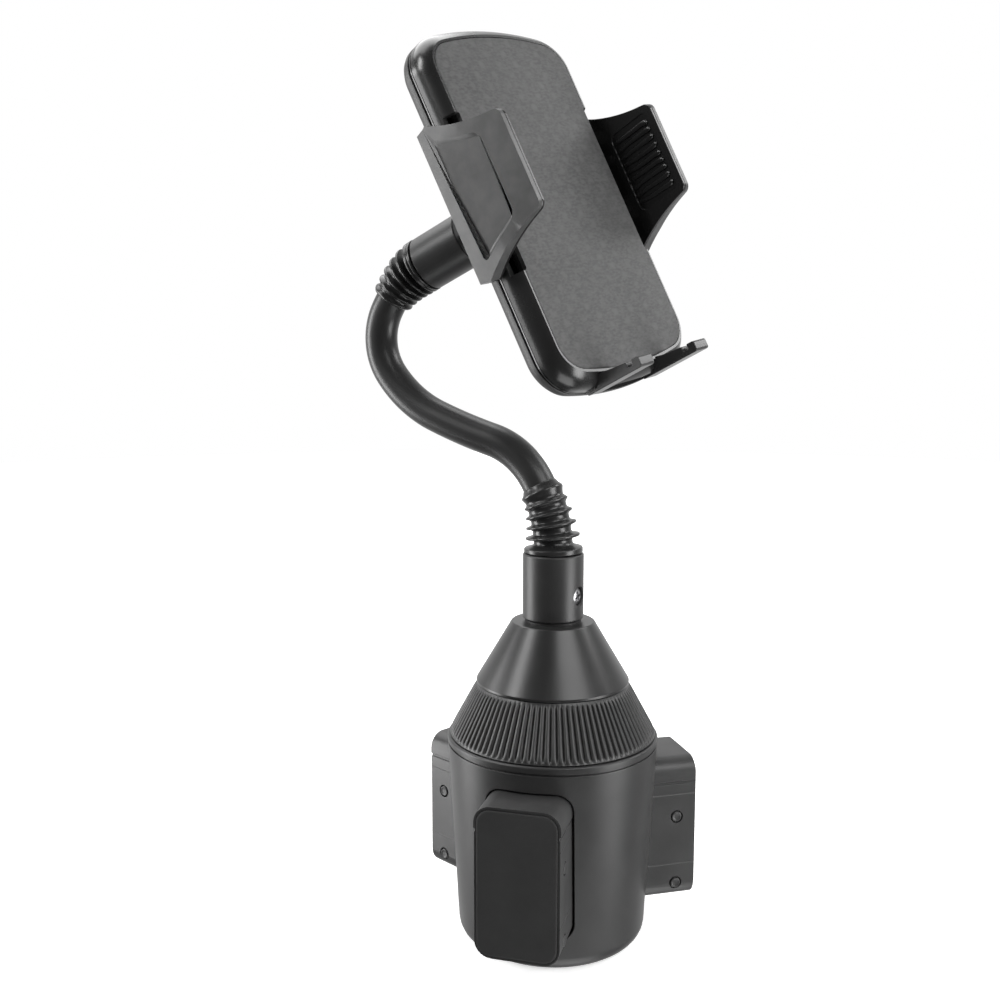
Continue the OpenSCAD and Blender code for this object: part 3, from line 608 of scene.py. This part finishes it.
def make_cone_and_collar():
    cone = build("cone_cover_shell", turned(fillet([
        (CONE_FOOT_R - 0.05, CONE_Z, 0.2), (CONE_FOOT_R, CONE_Z + 0.8, 0.3), (CONE_TOP_R, CONE_TOP_Z, 0.6),
        (7.5, CONE_TOP_Z, 0), (7.5, 84.5, 0), (9.9, 84.5, 0), (9.9, CONE_TOP_Z - CAN_WALL, 0),
        (CONE_TOP_R - 1.2, CONE_TOP_Z - CAN_WALL, 0), (CONE_FOOT_R - CAN_WALL, CONE_Z, 0),
    ], 6), 160))
    dress(cone, "base", "cone_cover", angle=40)

    collar = build("neck_collar_tube", turned(fillet([
        (7.5, 92.5, 0), (7.5, CONE_TOP_Z + 0.02, 0), (COLLAR_R - 0.7, CONE_TOP_Z + 0.02, 0),
        (COLLAR_R - 0.7, CONE_TOP_Z + 0.7, 0.2), (COLLAR_R, CONE_TOP_Z + 1.3, 0.3),
        (COLLAR_R, COLLAR_TOP_Z, 0.6), (3.4, COLLAR_TOP_Z, 0), (3.4, 92.5, 0),
    ]), 128))
    turn = math.radians(COLLAR_SCREW_TURN - 90)
    out = Vector((math.cos(turn), math.sin(turn), 0))
    screw_place = place_from(Vector((0, 0, COLLAR_SCREW_Z)), UP.cross(out), UP, out)
    recess = turned(fillet([
        (0, COLLAR_R - 1.9, 0), (2.9, COLLAR_R - 1.9, 0.2), (2.9, COLLAR_R - 0.5, 0),
        (3.6, COLLAR_R + 0.6, 0), (3.6, COLLAR_R + 4.4, 0), (0, COLLAR_R + 4.4, 0),
    ]), 48)
    carve(collar, recess, screw_place)
    dress(collar, "base", "neck_collar")
    head_r = 2.7
    head_place = screw_place @ Matrix.Translation((0, 0, COLLAR_R - 0.6))
    screw = build("collar_cross_screw", cross_screw(head_r, 1.3, 1.5, 5.6), head_place)
    carve_cross(screw, head_place, head_r)
    dress(screw, "base", "collar_screw")


def cross_screw(head_r, head_t, shank_r, length):
    """Screw with a domed head, its top at z = 0."""
    return turned(fillet([
        (0, -length, 0), (shank_r, -length, 0.2), (shank_r, -head_t, 0), (head_r, -head_t, 0.15),
        (head_r, -head_t * 0.45, 0.3), (head_r * 0.5, 0, 0.4), (0, 0, 0),
    ]), 40)


def carve_cross(obj, place, head_r):
    for turn in (0, 90):
        slot = moved(prism(round_box(head_r * 1.25, head_r * 0.3, head_r * 0.1, 3), -head_r * 0.35, 1),
                     Matrix.Rotation(math.radians(turn + 20), 4, "Z"))
        carve(obj, slot, place)


def leg_outline():
    """Outline of a leg in (y, z from its underside), with the cap's step and two seam lines."""
    half = LEG_W / 2
    step = 0.22
    line = 0.14
    side = [(half - step, 0, LEG_ROUND)]
    for z in (11.6, 34.9):
        side += [(half - step, z, 0), (half - step + line, z + 0.2, 0), (half - step, z + 0.4, 0)]
    groove = half - step - 0.35
    side += [(half - step, 38.6, 0), (groove, 38.8, 0), (groove, 39.4, 0), (half, 39.7, 0.1)]
    side += [(half, LEG_H, LEG_ROUND)]
    return fillet(side + [(-y, z, r) for y, z, r in reversed(side)], 7)


def pin_place(end, y, z):
    """Placement of a pin's end on a leg, its z pointing out of that side."""
    return place_from(Vector((PIN_AT, end * y, z)), Vector((1, 0, 0)), UP * -end, Vector((0, end, 0)))


def make_leg(side):
    place = leg_place(side)
    body = side + "_leg"
    upright = Matrix.Translation((0, 0, LEG_Z)) @ ALONG_X
    block = build("leg_block_" + side, moved(prism(leg_outline(), LEG_IN, LEG_OUT), upright), place)
    middle = Matrix.Translation((0, 0, LEG_Z + LEG_H / 2)) @ ALONG_X
    pad_foot = LEG_REACH - LEG_PAD_T
    recess_w, recess_h = LEG_W - 2 * LEG_RIM, LEG_H - 2 * LEG_RIM
    recess_outline = round_box(recess_w, recess_h, LEG_ROUND - LEG_RIM, 8)
    recess = moved(prism(recess_outline, pad_foot, LEG_REACH + 1), middle)
    carve(block, recess, place)
    for z in PIN_ZS:
        for end in (-1, 1):
            carve(block, moved(prism(disc(PIN_R + 0.4), 0, 2), pin_place(end, LEG_W / 2 - 1.3, z)), place)
    soften(block, 0.22, 2, 50)
    follower = together(
        moved(prism(disc(2), 57.6, 63.7), Matrix.Translation((20.6, 0, 0))),
        prism([(18.6, -3), (23.2, -3), (23.2, 3), (18.6, 3)], 57, 60.6),
    )
    stem = build("leg_follower_" + side, follower, place)
    dress(block, body, "leg_" + side, angle=30)
    dress_child(stem, block)

    pad_layers = [(0.1, -LEG_PAD_T), (0.1, -0.45), (0.2, -0.16), (0.45, -0.03), (0.8, 0)]
    pad = build("leg_grip_pad_" + side, moved(stack([
        (round_box(recess_w - 2 * g, recess_h - 2 * g, LEG_ROUND - LEG_RIM - g, 8), LEG_REACH + x)
        for g, x in pad_layers
    ]), middle), place)
    dress(pad, body, "leg_" + side + "_pad")

    pin = turned(fillet([
        (0, -1.2, 0), (PIN_R, -1.2, 0), (PIN_R, 0, 0.35), (PIN_R * 0.5, -0.25, 0.3), (0, -0.25, 0),
    ]), 32)
    pins = [moved(pin, pin_place(end, LEG_W / 2 + 0.05, z)) for z in PIN_ZS for end in (-1, 1)]
    dress(build("leg_cross_pins_" + side, together(*pins), place), body, "leg_" + side + "_pins")


def dress_child(obj, parent):
    """An extra part of a piece: same material, riding on the piece."""
    obj.data.materials.append(parent.data.materials[0])
    shade(obj)
    obj.parent = parent
    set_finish(obj, parent["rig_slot"])


# ---------- neck ----------

LEAN_AXIS = Vector((-math.cos(math.radians(LEAN)), math.sin(math.radians(LEAN)), 0))
NECK_SIDE = LEAN_AXIS.cross(UP)


def neck_point(s):
    """Position and heading (radians from upright) at distance s along the neck."""
    x = 0
    z = COLLAR_TOP_Z
    heading = 0
    for bend, length in zip(BENDS, LENGTHS):
        run = min(s, length)
        turn = math.radians(bend) * run / length
        radius = length / math.radians(bend)
        x += radius * (math.cos(heading) - math.cos(heading + turn))
        z += radius * (math.sin(heading + turn) - math.sin(heading))
        heading += turn
        s -= run
        if s <= 0:
            break
    x += s * math.sin(heading) if s > 0 else 0
    z += s * math.cos(heading) if s > 0 else 0
    return LEAN_AXIS * x + UP * z, heading


def neck_place(s):
    """Placement on the neck's path with z pointing onward."""
    point, heading = neck_point(s)
    onward = LEAN_AXIS * math.sin(heading) + UP * math.cos(heading)
    normal = NECK_SIDE.cross(onward)
    return place_from(point, normal, onward.cross(normal), onward)


def neck_skin(profile, steps=56):
    """Skin along the neck from a closed profile of (radius, distance)."""
    placed = [(r, neck_place(s)) for r, s in profile]
    rings = []
    for k in range(steps):
        a = 2 * math.pi * k / steps
        rings.append([place @ Vector((r * math.cos(a), r * math.sin(a), 0)) for r, place in placed])
    return skin(rings, close_rows=True)


def between(first, last, pitch):
    """Even steps from first to last, both included."""
    count = max(1, math.ceil((last - first) / pitch))
    return [first + (last - first) * k / count for k in range(count + 1)]


def make_sleeve():
    """Rubber sleeve in five lengths, each running over one station of the neck."""
    stations = [sum(LENGTHS[:k + 1]) for k in range(5)]
    cuts = [0.3] + [(a + b) / 2 for a, b in zip(stations, stations[1:])] + [sum(LENGTHS) - 0.2]
    reach = 9
    for k, station in enumerate(stations):
        start, end = cuts[k], cuts[k + 1]
        outer = [(NECK_R, s) for s in between(start, end, 0.7)]
        inner = [(NECK_BORE, s) for s in reversed(between(start, end, 1.4))]
        sleeve = build("neck_sleeve_length_%d" % (k + 1), neck_skin(outer + inner))
        nodes = ["neck_sleeve_%d" % (k + 1)] + (["neck_sleeve_6"] if k == 4 else [])
        dress(sleeve, None, *nodes)
        ends = [neck_point(station + side * reach)[0] * MM for side in (-1, 1)]
        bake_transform(sleeve)


def fin(s, r, core, half=1.1):
    """Profile of one boot fin: a cone on each side of a thin rounded rim."""
    slope = [(core, -half - 0.15), (core + 0.25, -half + 0.25), (r - 0.3, -0.42), (r - 0.05, -0.26)]
    profile = slope + [(r, 0)] + [(radius, -along) for radius, along in reversed(slope)]
    return [(radius, s + along) for radius, along in profile]


def make_boots():
    core = NECK_R + 0.9
    bore = NECK_R - 0.3
    profile = [(bore, 0.25), (9.0, 0.25), (9.25, 0.5), (9.25, 1.5), (9.0, 1.8),
               (core + 1.0, 2.2), (core, 2.9)]
    for s, r in zip((5.2, 8.8, 12.3, 15.7), (8.6, 8.0, 7.5, 7.1)):
        profile += fin(s, r, core - 0.1)
    profile += [(core, 17.6), (core + 0.2, 18.1), (6.8, 19.0), (6.85, 19.4), (6.6, 19.8),
                (NECK_R + 0.75, 20.4), (NECK_R + 0.3, 21.4), (NECK_R + 0.02, 21.8), (bore, 21.8)]
    boot = build("lower_boot_fins", neck_skin(profile, 72))
    dress(boot, "base", "lower_boot", angle=60)

    end = sum(LENGTHS)
    start = end - 17.4
    profile = [(bore, start), (NECK_R + 0.05, start), (6.5, start + 0.5), (6.85, start + 1.1),
               (6.85, start + 1.6), (core + 0.1, start + 2.2)]
    for k, r in enumerate((7.3, 7.8, 8.3, 8.7)):
        profile += fin(start + 4.1 + 2.85 * k, r, core, 1.0)
    profile += [(core + 0.4, end - 3.4), (8.5, end - 2.5), (8.85, end - 2.2), (8.85, end - 1.6),
                (8.6, end - 1.4), (8.6, end - 1.2), (8.85, end - 1.0), (8.85, end - 0.3),
                (8.6, end - 0.1), (bore, end - 0.1)]
    boot = build("upper_boot_fins", neck_skin(profile, 72))
    dress(boot, "neck_6", "upper_boot", angle=60)

    collar = build("top_collar_tube", turned(fillet([
        (3.2, 0, 0), (8.1, 0, 0), (8.1, 0.35, 0), (TOP_COLLAR_R, 0.4, 0.3),
        (TOP_COLLAR_R, TOP_COLLAR_L, 0.5), (3.2, TOP_COLLAR_L, 0),
    ]), 112), neck_place(end))
    dress(collar, "neck_6", "top_collar")


def make_nut():
    edges = (0, 0.3, 0.9, 1.4)
    heights = [NUT_BACK + e for e in edges] + [NUT_FRONT - e for e in reversed(edges)]
    radii = (-1.3, -0.8, -0.5, -0.5, -0.5, -0.5, -0.8, -1.3)
    lifts = (0, 0, 0.6, 1, 1, 0.6, 0, 0)
    outer = [(NUT_R + r, n) for r, n in zip(radii, heights)]
    lip = NUT_BACK + 1
    inner = [(NUT_BORE, NUT_FRONT), (NUT_BORE, lip), (NUT_MOUTH, lip), (NUT_MOUTH, NUT_BACK)]

    def ribs(a, i):
        if i >= len(lifts):
            return 0
        return 0.5 * lifts[i] * min(1, max(0, 1.6 * math.cos(a * NUT_RIBS) + 0.4))

    nut = build("knurled_lock_nut", turned(outer + inner, NUT_RIBS * 14, ribs), BALL_PLACE)
    dress(nut, "nut", "lock_nut", angle=40)


# ---------- cradle ----------

def body_outline(inset):
    """Outline of the body, drawn in by an inset that grows towards the ends with the rim."""
    extra = inset * (END_RIM / RIM - 1)
    return crowned(BODY_W, BODY_L - 2 * extra, BODY_ROUND, inset)


def box_shape(low, high):
    """Box between its lowest and highest corner."""
    outline = [(low[0], low[1]), (high[0], low[1]), (high[0], high[1]), (low[0], high[1])]
    return prism(outline, low[2], high[2])


def wall_openings():
    """Cutters for the jaw bars, the foot bracket and the release button."""
    gap = 0.3
    reach = 18.3
    half = BODY_W / 2
    foot = -BODY_L / 2
    shapes = [box_shape((side * half - 4, JAW_MID - reach, BAR_N - gap),
                        (side * half + 4, JAW_MID + reach, BAR_N + BAR_T + gap)) for side in (-1, 1)]
    shapes.append(box_shape((-TONGUE_W / 2 - gap, foot - 1, TONGUE_N - gap),
                            (TONGUE_W / 2 + gap, foot + 7, TONGUE_N + TONGUE_T + gap)))
    for side in (-1, 1):
        shapes.append(box_shape((side * PRONG_AT - PRONG_W / 2 - gap, PRONG_LOW - 3, TONGUE_N - gap),
                                (side * PRONG_AT + PRONG_W / 2 + gap, PRONG_TOP + gap, 2.6)))
    shapes.append(box_shape((half - 6, BUTTON_U - 4.8, BUTTON_N - 2),
                            (half + 4, BUTTON_U + 4.8, BUTTON_N + 2)))
    return shapes


def notch_shape(side):
    w = side * (NOTCH_IN + 5)
    outline = [p + Vector((w, JAW_MID)) for p in round_box(10, NOTCH_H, 0.8, 4)]
    return prism(outline, -3.6, 3)


def make_cradle():
    back = build("cradle_back_shell", stack([
        (body_outline(g), n) for g, n in (
            (3.6, BACK_N), (2.6, BACK_N + 0.12), (1.7, BACK_N + 0.5), (0.9, BACK_N + 1.15),
            (0.35, BACK_N + 2.0), (0.05, BACK_N + 3.1), (0, BACK_N + 3.8), (0, SEAM_N - 0.45),
            (0.12, SEAM_N - 0.3), (0.45, SEAM_N - 0.25), (2, SEAM_N - 0.25), (2, BACK_N + 2),
            (2.6, BACK_N + 2))
    ]), CRADLE_PLACE)
    for cutter in wall_openings():
        carve(back, cutter, CRADLE_PLACE)
    hole = prism(disc(BALL_HOLE_R, 64), BACK_N - 1, BACK_N + 3)
    carve(back, moved(hole, Matrix.Translation((0, BALL_UP, 0))), CRADLE_PLACE)
    for x in (-22, 22):
        for y in (-44, 44):
            well = turned(fillet([(0, -1, 0), (2.8, -1, 0), (2.4, 0.3, 0), (2.4, 1.9, 0), (0, 1.9, 0)]), 32)
            carve(back, moved(well, Matrix.Translation((x, y, BACK_N))), CRADLE_PLACE)
    dress(back, "cradle", "cradle_back")

    wall = [(2, -3.2), (2, SEAM_N + 0.1), (0.45, SEAM_N + 0.1), (0.2, SEAM_N + 0.15), (0.05, SEAM_N + 0.35),
            (0, SEAM_N + 0.8), (0.22, SEAM_N + 0.85), (0.22, SEAM_N + 1.05), (0, SEAM_N + 1.1),
            (0, RIM_FOOT_N)]
    curve = [(RIM * 0.8 * t * t, RIM_FOOT_N * (1 - t) ** 2 + 2 * RIM_BEND_N * t * (1 - t) - 0.12 * t * t)
             for t in (k / 14 for k in range(1, 15))]
    lip = [(2.92, -0.12), (2.97, -0.25), (2.97, -1.4)]
    bezel = build("cradle_bezel", stack([(body_outline(g), n) for g, n in wall + curve + lip]), CRADLE_PLACE)
    for cutter in wall_openings() + [notch_shape(side) for side in (-1, 1)]:
        carve(bezel, cutter, CRADLE_PLACE)
    dress(bezel, "cradle", "cradle_frame")

    pad_edge = [(0, -1.38), (0, -0.4), (0.08, -0.15), (0.3, -0.02), (0.6, 0.02)]
    layers = [(crowned(PAD_W, PAD_L, BODY_ROUND - RIM, g), n) for g, n in pad_edge]
    pad = build("woven_pad", stack(layers), CRADLE_PLACE)
    for side in (-1, 1):
        carve(pad, notch_shape(side), CRADLE_PLACE)
    dress(pad, "cradle", "cradle_pad")


def jaw_outline():
    """Side view of a jaw as (out of the pad, along the phone from the jaw's middle)."""
    bite_from = Vector((JAW_BACK_N + 3.5, JAW_BACK_H + 0.9))
    bite_to = Vector((JAW_REACH - 2.2, JAW_TIP_H))
    chord = bite_to - bite_from
    sag = 1.3
    radius = (chord.length_squared / 4 + sag * sag) / 2 / sag
    away = Vector((-chord.y, chord.x)).normalized()
    centre = (bite_from + bite_to) / 2 + away * (radius - sag)
    top = [Vector((JAW_BACK_N, JAW_BACK_H - 0.4)), Vector((JAW_BACK_N + 3, JAW_BACK_H))]
    steps = 16
    first = JAW_BACK_N + 4.2
    last = JAW_REACH - JAW_CORNER - 0.6
    for k in range(steps + 1):
        n = first + (last - first) * k / steps
        top.append(Vector((n, centre.y - math.sqrt(radius ** 2 - (n - centre.x) ** 2))))
    for k in range(2, 9):
        a = math.radians(90 - 90 * k / 8)
        n = JAW_REACH - JAW_CORNER + JAW_CORNER * math.cos(a)
        top.append(Vector((n, JAW_TIP_H - JAW_CORNER + JAW_CORNER * math.sin(a))))
    return top + [Vector((p.x, -p.y)) for p in reversed(top)]


def pocket_outline(inset):
    """Outline of the jaw's pocket as (out of the pad, along the phone from the jaw's middle)."""
    back, tip = -5.2 + inset * 0.4, 10.4 - inset * 0.6
    back_half, tip_half = 18.8 - inset * 1.7, 12.3 - inset * 1.1
    return fillet([(back, -back_half, 1.2), (tip, -tip_half, 3.6 - inset), (tip, tip_half, 3.6 - inset),
                   (back, back_half, 1.2)], 8)


def jaw_pocket():
    """Cutter for the pocket in the outer face, whose floor sinks towards the tip."""
    face = JAW_IN + JAW_T
    mouth = pocket_outline(0)
    floor = pocket_outline(0.9)
    sunk = [(face - 0.3 - 0.065 * (p.x + 5), p.y, p.x) for p in floor]
    return skin([[(face + 2, p.y, p.x) for p in mouth], [(face, p.y, p.x) for p in mouth], sunk])


def thin_tip(obj, place):
    """Thin a jaw plate towards its tip by drawing its outer face in."""
    root_n = 2
    foot = JAW_IN + LINER_T
    into_jaw = place.inverted()
    for vertex in obj.data.vertices:
        w, u, n = into_jaw @ (vertex.co / MM)
        along = min(1, max(0, (n - root_n) / (JAW_REACH - root_n)))
        w = foot + (w - foot) * (1 - 0.6 * along)
        vertex.co = place @ Vector((w, u, n)) * MM


def jaw_bars():
    """Toothed bar and plain guide bar behind the right jaw's plate."""
    gear_r = 4.8
    module = 0.8
    pitch = math.pi * module
    lean = math.tan(math.radians(25))
    addendum = 0.9 * module
    dedendum = 1.25 * module
    half = pitch / 4 - 0.03
    end = JAW_IN + LINER_T + 0.3
    low = -21
    bar_h = 6.2
    root = -gear_r - dedendum
    tip = -gear_r + addendum
    outline = [(end, root - bar_h), (end, root)]
    teeth = []
    for k in range(math.ceil(low / pitch + 0.5), math.floor(end / pitch - 0.5)):
        x = (k + 0.5) * pitch
        teeth += [(x - half - dedendum * lean, root), (x - half + addendum * lean, tip),
                  (x + half - addendum * lean, tip), (x + half + dedendum * lean, root)]
    outline += list(reversed(teeth))
    outline += [(low, root), (low, root - bar_h)]
    guide_low = gear_r + 1 + bar_h + 1.5
    return together(
        moved(prism(outline, BAR_N, BAR_N + BAR_T), AT_JAWS),
        box_shape((14, JAW_MID + guide_low, BAR_N), (end, JAW_MID + guide_low + 4.5, BAR_N + BAR_T)),
    )


def make_jaw(side, place):
    middle = AT_JAWS @ SIDEWAYS
    body = side + "_jaw"
    slab = prism(jaw_outline(), JAW_IN + LINER_T + 0.05, JAW_IN + JAW_T)
    plate = build("jaw_plate_" + side, moved(slab, middle), place)
    carve(plate, jaw_pocket(), place @ AT_JAWS)
    thin_tip(plate, place)
    soften(plate, 0.4, 3, 40)
    dress(plate, body, "jaw_" + side)
    bars = build("jaw_bars_" + side, jaw_bars(), place)
    soften(bars, 0.1, 1, 50)
    dress_child(bars, plate)

    slab = prism(jaw_outline(), JAW_IN, JAW_IN + LINER_T)
    liner = build("jaw_liner_plate_" + side, moved(slab, middle), place)
    field = [p + Vector((9.1, 0)) for p in round_box(15.4, 25.6, 2.2, 5)]
    carve(liner, moved(prism(field, JAW_IN - 1, JAW_IN + 0.4), middle), place)
    soften(liner, 0.25, 2, 40)
    dress(liner, body, "jaw_" + side + "_pad")
    finger = ((1.9, 0.02), (2.2, 0.45), (3.2, 0.72), (6.5, 0.8), (13.8, 0.88), (15.1, 1.0), (15.8, 0.75),
              (16.1, 0.3), (16.2, 0.02))
    ribs = []
    for k in range(9):
        u = JAW_MID + (k - 4) * 2.5
        rings = []
        for n, r in finger:
            wobble = 0.25 * math.sin(n * 0.8 + k * 1.3)
            rings.append([(JAW_IN + 0.4 - 0.85 * r * math.sin(a), u + wobble + r * math.cos(a), n)
                          for a in (2 * math.pi * j / 14 for j in range(14))])
        ribs.append(skin(rings))
    dress_child(build("jaw_liner_ribs_" + side, together(*ribs), place), liner)


def make_pinion():
    teeth = 12
    rings = []
    for n in (BAR_N, BAR_N + BAR_T):
        ring = []
        for k in range(teeth):
            for step, r in ((-0.3, 3.8), (-0.17, 4.9), (-0.07, 5.6), (0.07, 5.6), (0.17, 4.9), (0.3, 3.8)):
                a = math.pi / 2 + 2 * math.pi * (k + step) / teeth
                ring.append((r * math.cos(a), JAW_MID + r * math.sin(a), n))
        rings.append(ring)
    pinion = build("jaw_gear", skin(rings), CRADLE_PLACE)
    carve(pinion, moved(prism(disc(2.05, 32), BAR_N - 1, BAR_N + BAR_T + 1), AT_JAWS), CRADLE_PLACE)
    soften(pinion, 0.12, 1, 30)
    dress(pinion, "pinion", "jaw_pinion")


def make_bracket():
    lip_n = PRONG_TIP_N - 2.8
    slot_n = lip_n - 1.9
    lip_top = PRONG_LOW + 3.2
    slot_floor = PRONG_LOW + 1.6
    outline = fillet([
        (TONGUE_N, PRONG_LOW, 0), (PRONG_TIP_N, PRONG_LOW, 0.7), (PRONG_TIP_N, lip_top, 0.8),
        (lip_n, lip_top, 0.3), (lip_n, slot_floor, 0.2), (slot_n, slot_floor, 0.2), (slot_n, lip_top, 0.4),
        (0, PRONG_TOP, 2.0), (TONGUE_N, PRONG_TOP, 0),
    ], 4)
    half = PRONG_W / 2
    prongs = build("foot_prongs", together(*[
        moved(prism(outline, middle - half, middle + half), SIDEWAYS) for middle in (-PRONG_AT, PRONG_AT)
    ]), CRADLE_PLACE)
    soften(prongs, 0.3, 3, 40)
    dress(prongs, "bracket", "foot_bracket")
    low = (-TONGUE_W / 2, -BODY_L / 2 + 1, TONGUE_N)
    high = (TONGUE_W / 2, -30, TONGUE_N + TONGUE_T)
    tongue = build("foot_slide", box_shape(low, high), CRADLE_PLACE)
    soften(tongue, 0.3)
    dress_child(tongue, prongs)


def make_button():
    low, high = BODY_W / 2 - 3, BODY_W / 2 + 1.8
    across = Matrix.Translation((0, BUTTON_U, BUTTON_N)) @ ALONG_X
    cap_edge = ((0, low), (0, high - 0.5), (0.12, high - 0.2), (0.45, high))
    layers = [(round_box(9 - 2 * g, 3.4 - 2 * g, 0.9 - g * 0.5, 5), w) for g, w in cap_edge]
    cap = build("release_button_cap", moved(stack(layers), across), CRADLE_PLACE)
    groove = prism(disc(0.5, 16), -2, 2)
    for k in (-1, 0, 1):
        carve(cap, moved(groove, Matrix.Translation((high + 0.25, BUTTON_U + k * 2, BUTTON_N))), CRADLE_PLACE)
    dress(cap, "button", "release_button")
    stem = build("release_button_stem", together(
        box_shape((low - 8, BUTTON_U - 1.5, BUTTON_N - 1.2), (low + 0.2, BUTTON_U + 1.5, BUTTON_N + 1.2)),
        box_shape((low - 8, BUTTON_U + 1.5, BUTTON_N - 1.2), (low - 5, BUTTON_U + 16.5, BUTTON_N + 1.2)),
    ), CRADLE_PLACE)
    dress_child(stem, cap)


def coil(radius, wire, length, turns):
    """Round wire wound along z from 0 to length."""
    around = 8
    steps = int(turns * 24)
    rings = []
    for k in range(steps + 1):
        a = 2 * math.pi * turns * k / steps
        z = wire + (length - 2 * wire) * k / steps
        ring = []
        for j in range(around):
            b = 2 * math.pi * j / around
            r = radius + wire * math.cos(b)
            ring.append((r * math.cos(a), r * math.sin(a), z + wire * math.sin(b)))
        rings.append(ring)
    return skin(rings)


def stretch_spring(name, node, shape, place):
    """Spring built where it stands and dressed in its material, attached to no body."""
    spring = build(name, shape, place)
    dress(spring, None, node)
    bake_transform(spring)


def make_springs():
    wire = 0.25
    end_n = BAR_N + BAR_T / 2
    wall = -BODY_W / 2 + 2.2
    rack_end = -21.2
    rack_u = JAW_MID - 8.9
    toward_rack = Matrix.Translation((wall, rack_u, end_n)) @ Matrix.Rotation(math.pi / 2, 4, "Y")
    for side, place in (("right", CRADLE_PLACE), ("left", CRADLE_PLACE @ HALF_TURN)):
        stretch_spring("jaw_return_spring_" + side, "jaw_spring_" + side,
                       moved(coil(1.7, wire, rack_end - wall, 6), toward_rack), place)
    stop = 24.4
    cap = BODY_W / 2 - 3.1
    toward_cap = Matrix.Translation((stop, BUTTON_U, BUTTON_N)) @ Matrix.Rotation(math.pi / 2, 4, "Y")
    stretch_spring("button_return_spring", "button_spring",
                   moved(coil(2.4, 0.2, cap - stop, 3), toward_cap), CRADLE_PLACE)


for part in frame["record"]["subparts"]:
    node = frame["nodes"][part["node"]]
    node.data.materials.clear()
    node.data.materials.append(MATERIALS[part["material_slot"]])

make_can()
make_expander()
make_cone_and_collar()
for leg in ("front", "right", "left"):
    make_leg(leg)
make_sleeve()
make_boots()
make_nut()
make_cradle()
make_jaw("right", CRADLE_PLACE)
make_jaw("left", CRADLE_PLACE @ HALF_TURN)
make_pinion()
make_bracket()
make_button()
make_springs()


# ---------- studio ----------

def make_floor():
    """Pale floor that brightens away from the mount, until it runs into the backdrop."""
    nodes = Nodes("pale_floor")
    soft = nodes.spread(nodes.noise(3, 2.0), 0, 1)
    colour = nodes.mix(soft, (0.9, 0.9, 0.9, 1), (0.93, 0.93, 0.93, 1))
    away = nodes.add("ShaderNodeVectorMath", {0: nodes.position}, operation="LENGTH").outputs["Value"]
    nodes.put(nodes.shader.inputs["Emission Strength"], nodes.spread(away, 0.6, 1, (0.06, 0.3)))
    material = nodes.finish(colour, 0.9, nodes.bump(nodes.noise(400), 0.01), Emission_Color=(1, 1, 1, 1))
    floor = build("floor", prism(disc(1600, 96), -2, -0.05))
    floor.data.materials.append(material)
    floor.visible_diffuse = False
    floor.visible_glossy = False
    floor.visible_shadow = False


def soft_box(name, azimuth, elevation, distance, width, height, power):
    """Area light that faces the cradle; azimuth 0 is the camera side, positive to the right."""
    aim = Vector((0, 0, 0.13))
    a, e = math.radians(azimuth), math.radians(elevation)
    way = Vector((math.sin(a) * math.cos(e), -math.cos(a) * math.cos(e), math.sin(e)))
    light = bpy.data.lights.new(name, "AREA")
    light.shape = "RECTANGLE"
    light.size = width
    light.size_y = height
    light.energy = power
    lamp = bpy.data.objects.new(name, light)
    lamp.location = aim + way * distance
    lamp.rotation_euler = (-way).to_track_quat("-Z", "Y").to_euler()
    bpy.context.scene.collection.objects.link(lamp)


def make_world():
    """Pale surroundings: bright behind and above the mount, dim on the camera's side."""
    world = bpy.data.worlds.new("studio")
    bpy.context.scene.world = world
    world.use_nodes = True
    tree = world.node_tree
    tree.nodes.clear()
    where = tree.nodes.new("ShaderNodeTexCoord")
    split = tree.nodes.new("ShaderNodeSeparateXYZ")
    tree.links.new(where.outputs["Generated"], split.inputs[0])
    depth = tree.nodes.new("ShaderNodeMapRange")
    depth.interpolation_type = "SMOOTHSTEP"
    for key, value in {"From Min": 0.0, "From Max": 0.9, "To Min": 0.06, "To Max": 0.9}.items():
        depth.inputs[key].default_value = value
    tree.links.new(split.outputs["Y"], depth.inputs["Value"])
    sight = tree.nodes.new("ShaderNodeLightPath")
    level = tree.nodes.new("ShaderNodeMix")
    tree.links.new(sight.outputs["Is Camera Ray"], level.inputs[0])
    tree.links.new(depth.outputs["Result"], level.inputs[2])
    level.inputs[3].default_value = 1.0
    glow = tree.nodes.new("ShaderNodeBackground")
    glow.inputs["Color"].default_value = (1, 1, 1, 1)
    tree.links.new(level.outputs[0], glow.inputs["Strength"])
    tree.links.new(glow.outputs[0], tree.nodes.new("ShaderNodeOutputWorld").inputs["Surface"])


def make_camera():
    camera = bpy.data.objects.new("camera", bpy.data.cameras.new("camera"))
    camera.data.sensor_width = 36
    camera.data.lens = 42.05
    camera.location = (-0.01675, -0.3606, 0.1917)
    camera.rotation_euler = (math.radians(90 - 7.99), 0, 0)
    bpy.context.scene.collection.objects.link(camera)
    bpy.context.scene.camera = camera


make_floor()
make_world()
soft_box("left_high_box", -70, 34, 1.0, 0.25, 0.5, 4)
soft_box("right_key_box", 36, 40, 1.0, 0.7, 0.45, 4.8)
soft_box("left_side_box", -100, -4, 1.0, 0.4, 0.9, 9)
soft_box("right_side_box", 66, -8, 1.0, 0.45, 0.8, 8)
soft_box("back_top_box", -140, 60, 1.1, 1.1, 0.9, 9)
soft_box("right_rim_box", 104, 36, 1.0, 0.4, 0.4, 3)
soft_box("floor_bounce", 25, -65, 1.0, 0.8, 0.8, 5)
make_camera()
bpy.context.scene.view_settings.view_transform = "Standard"
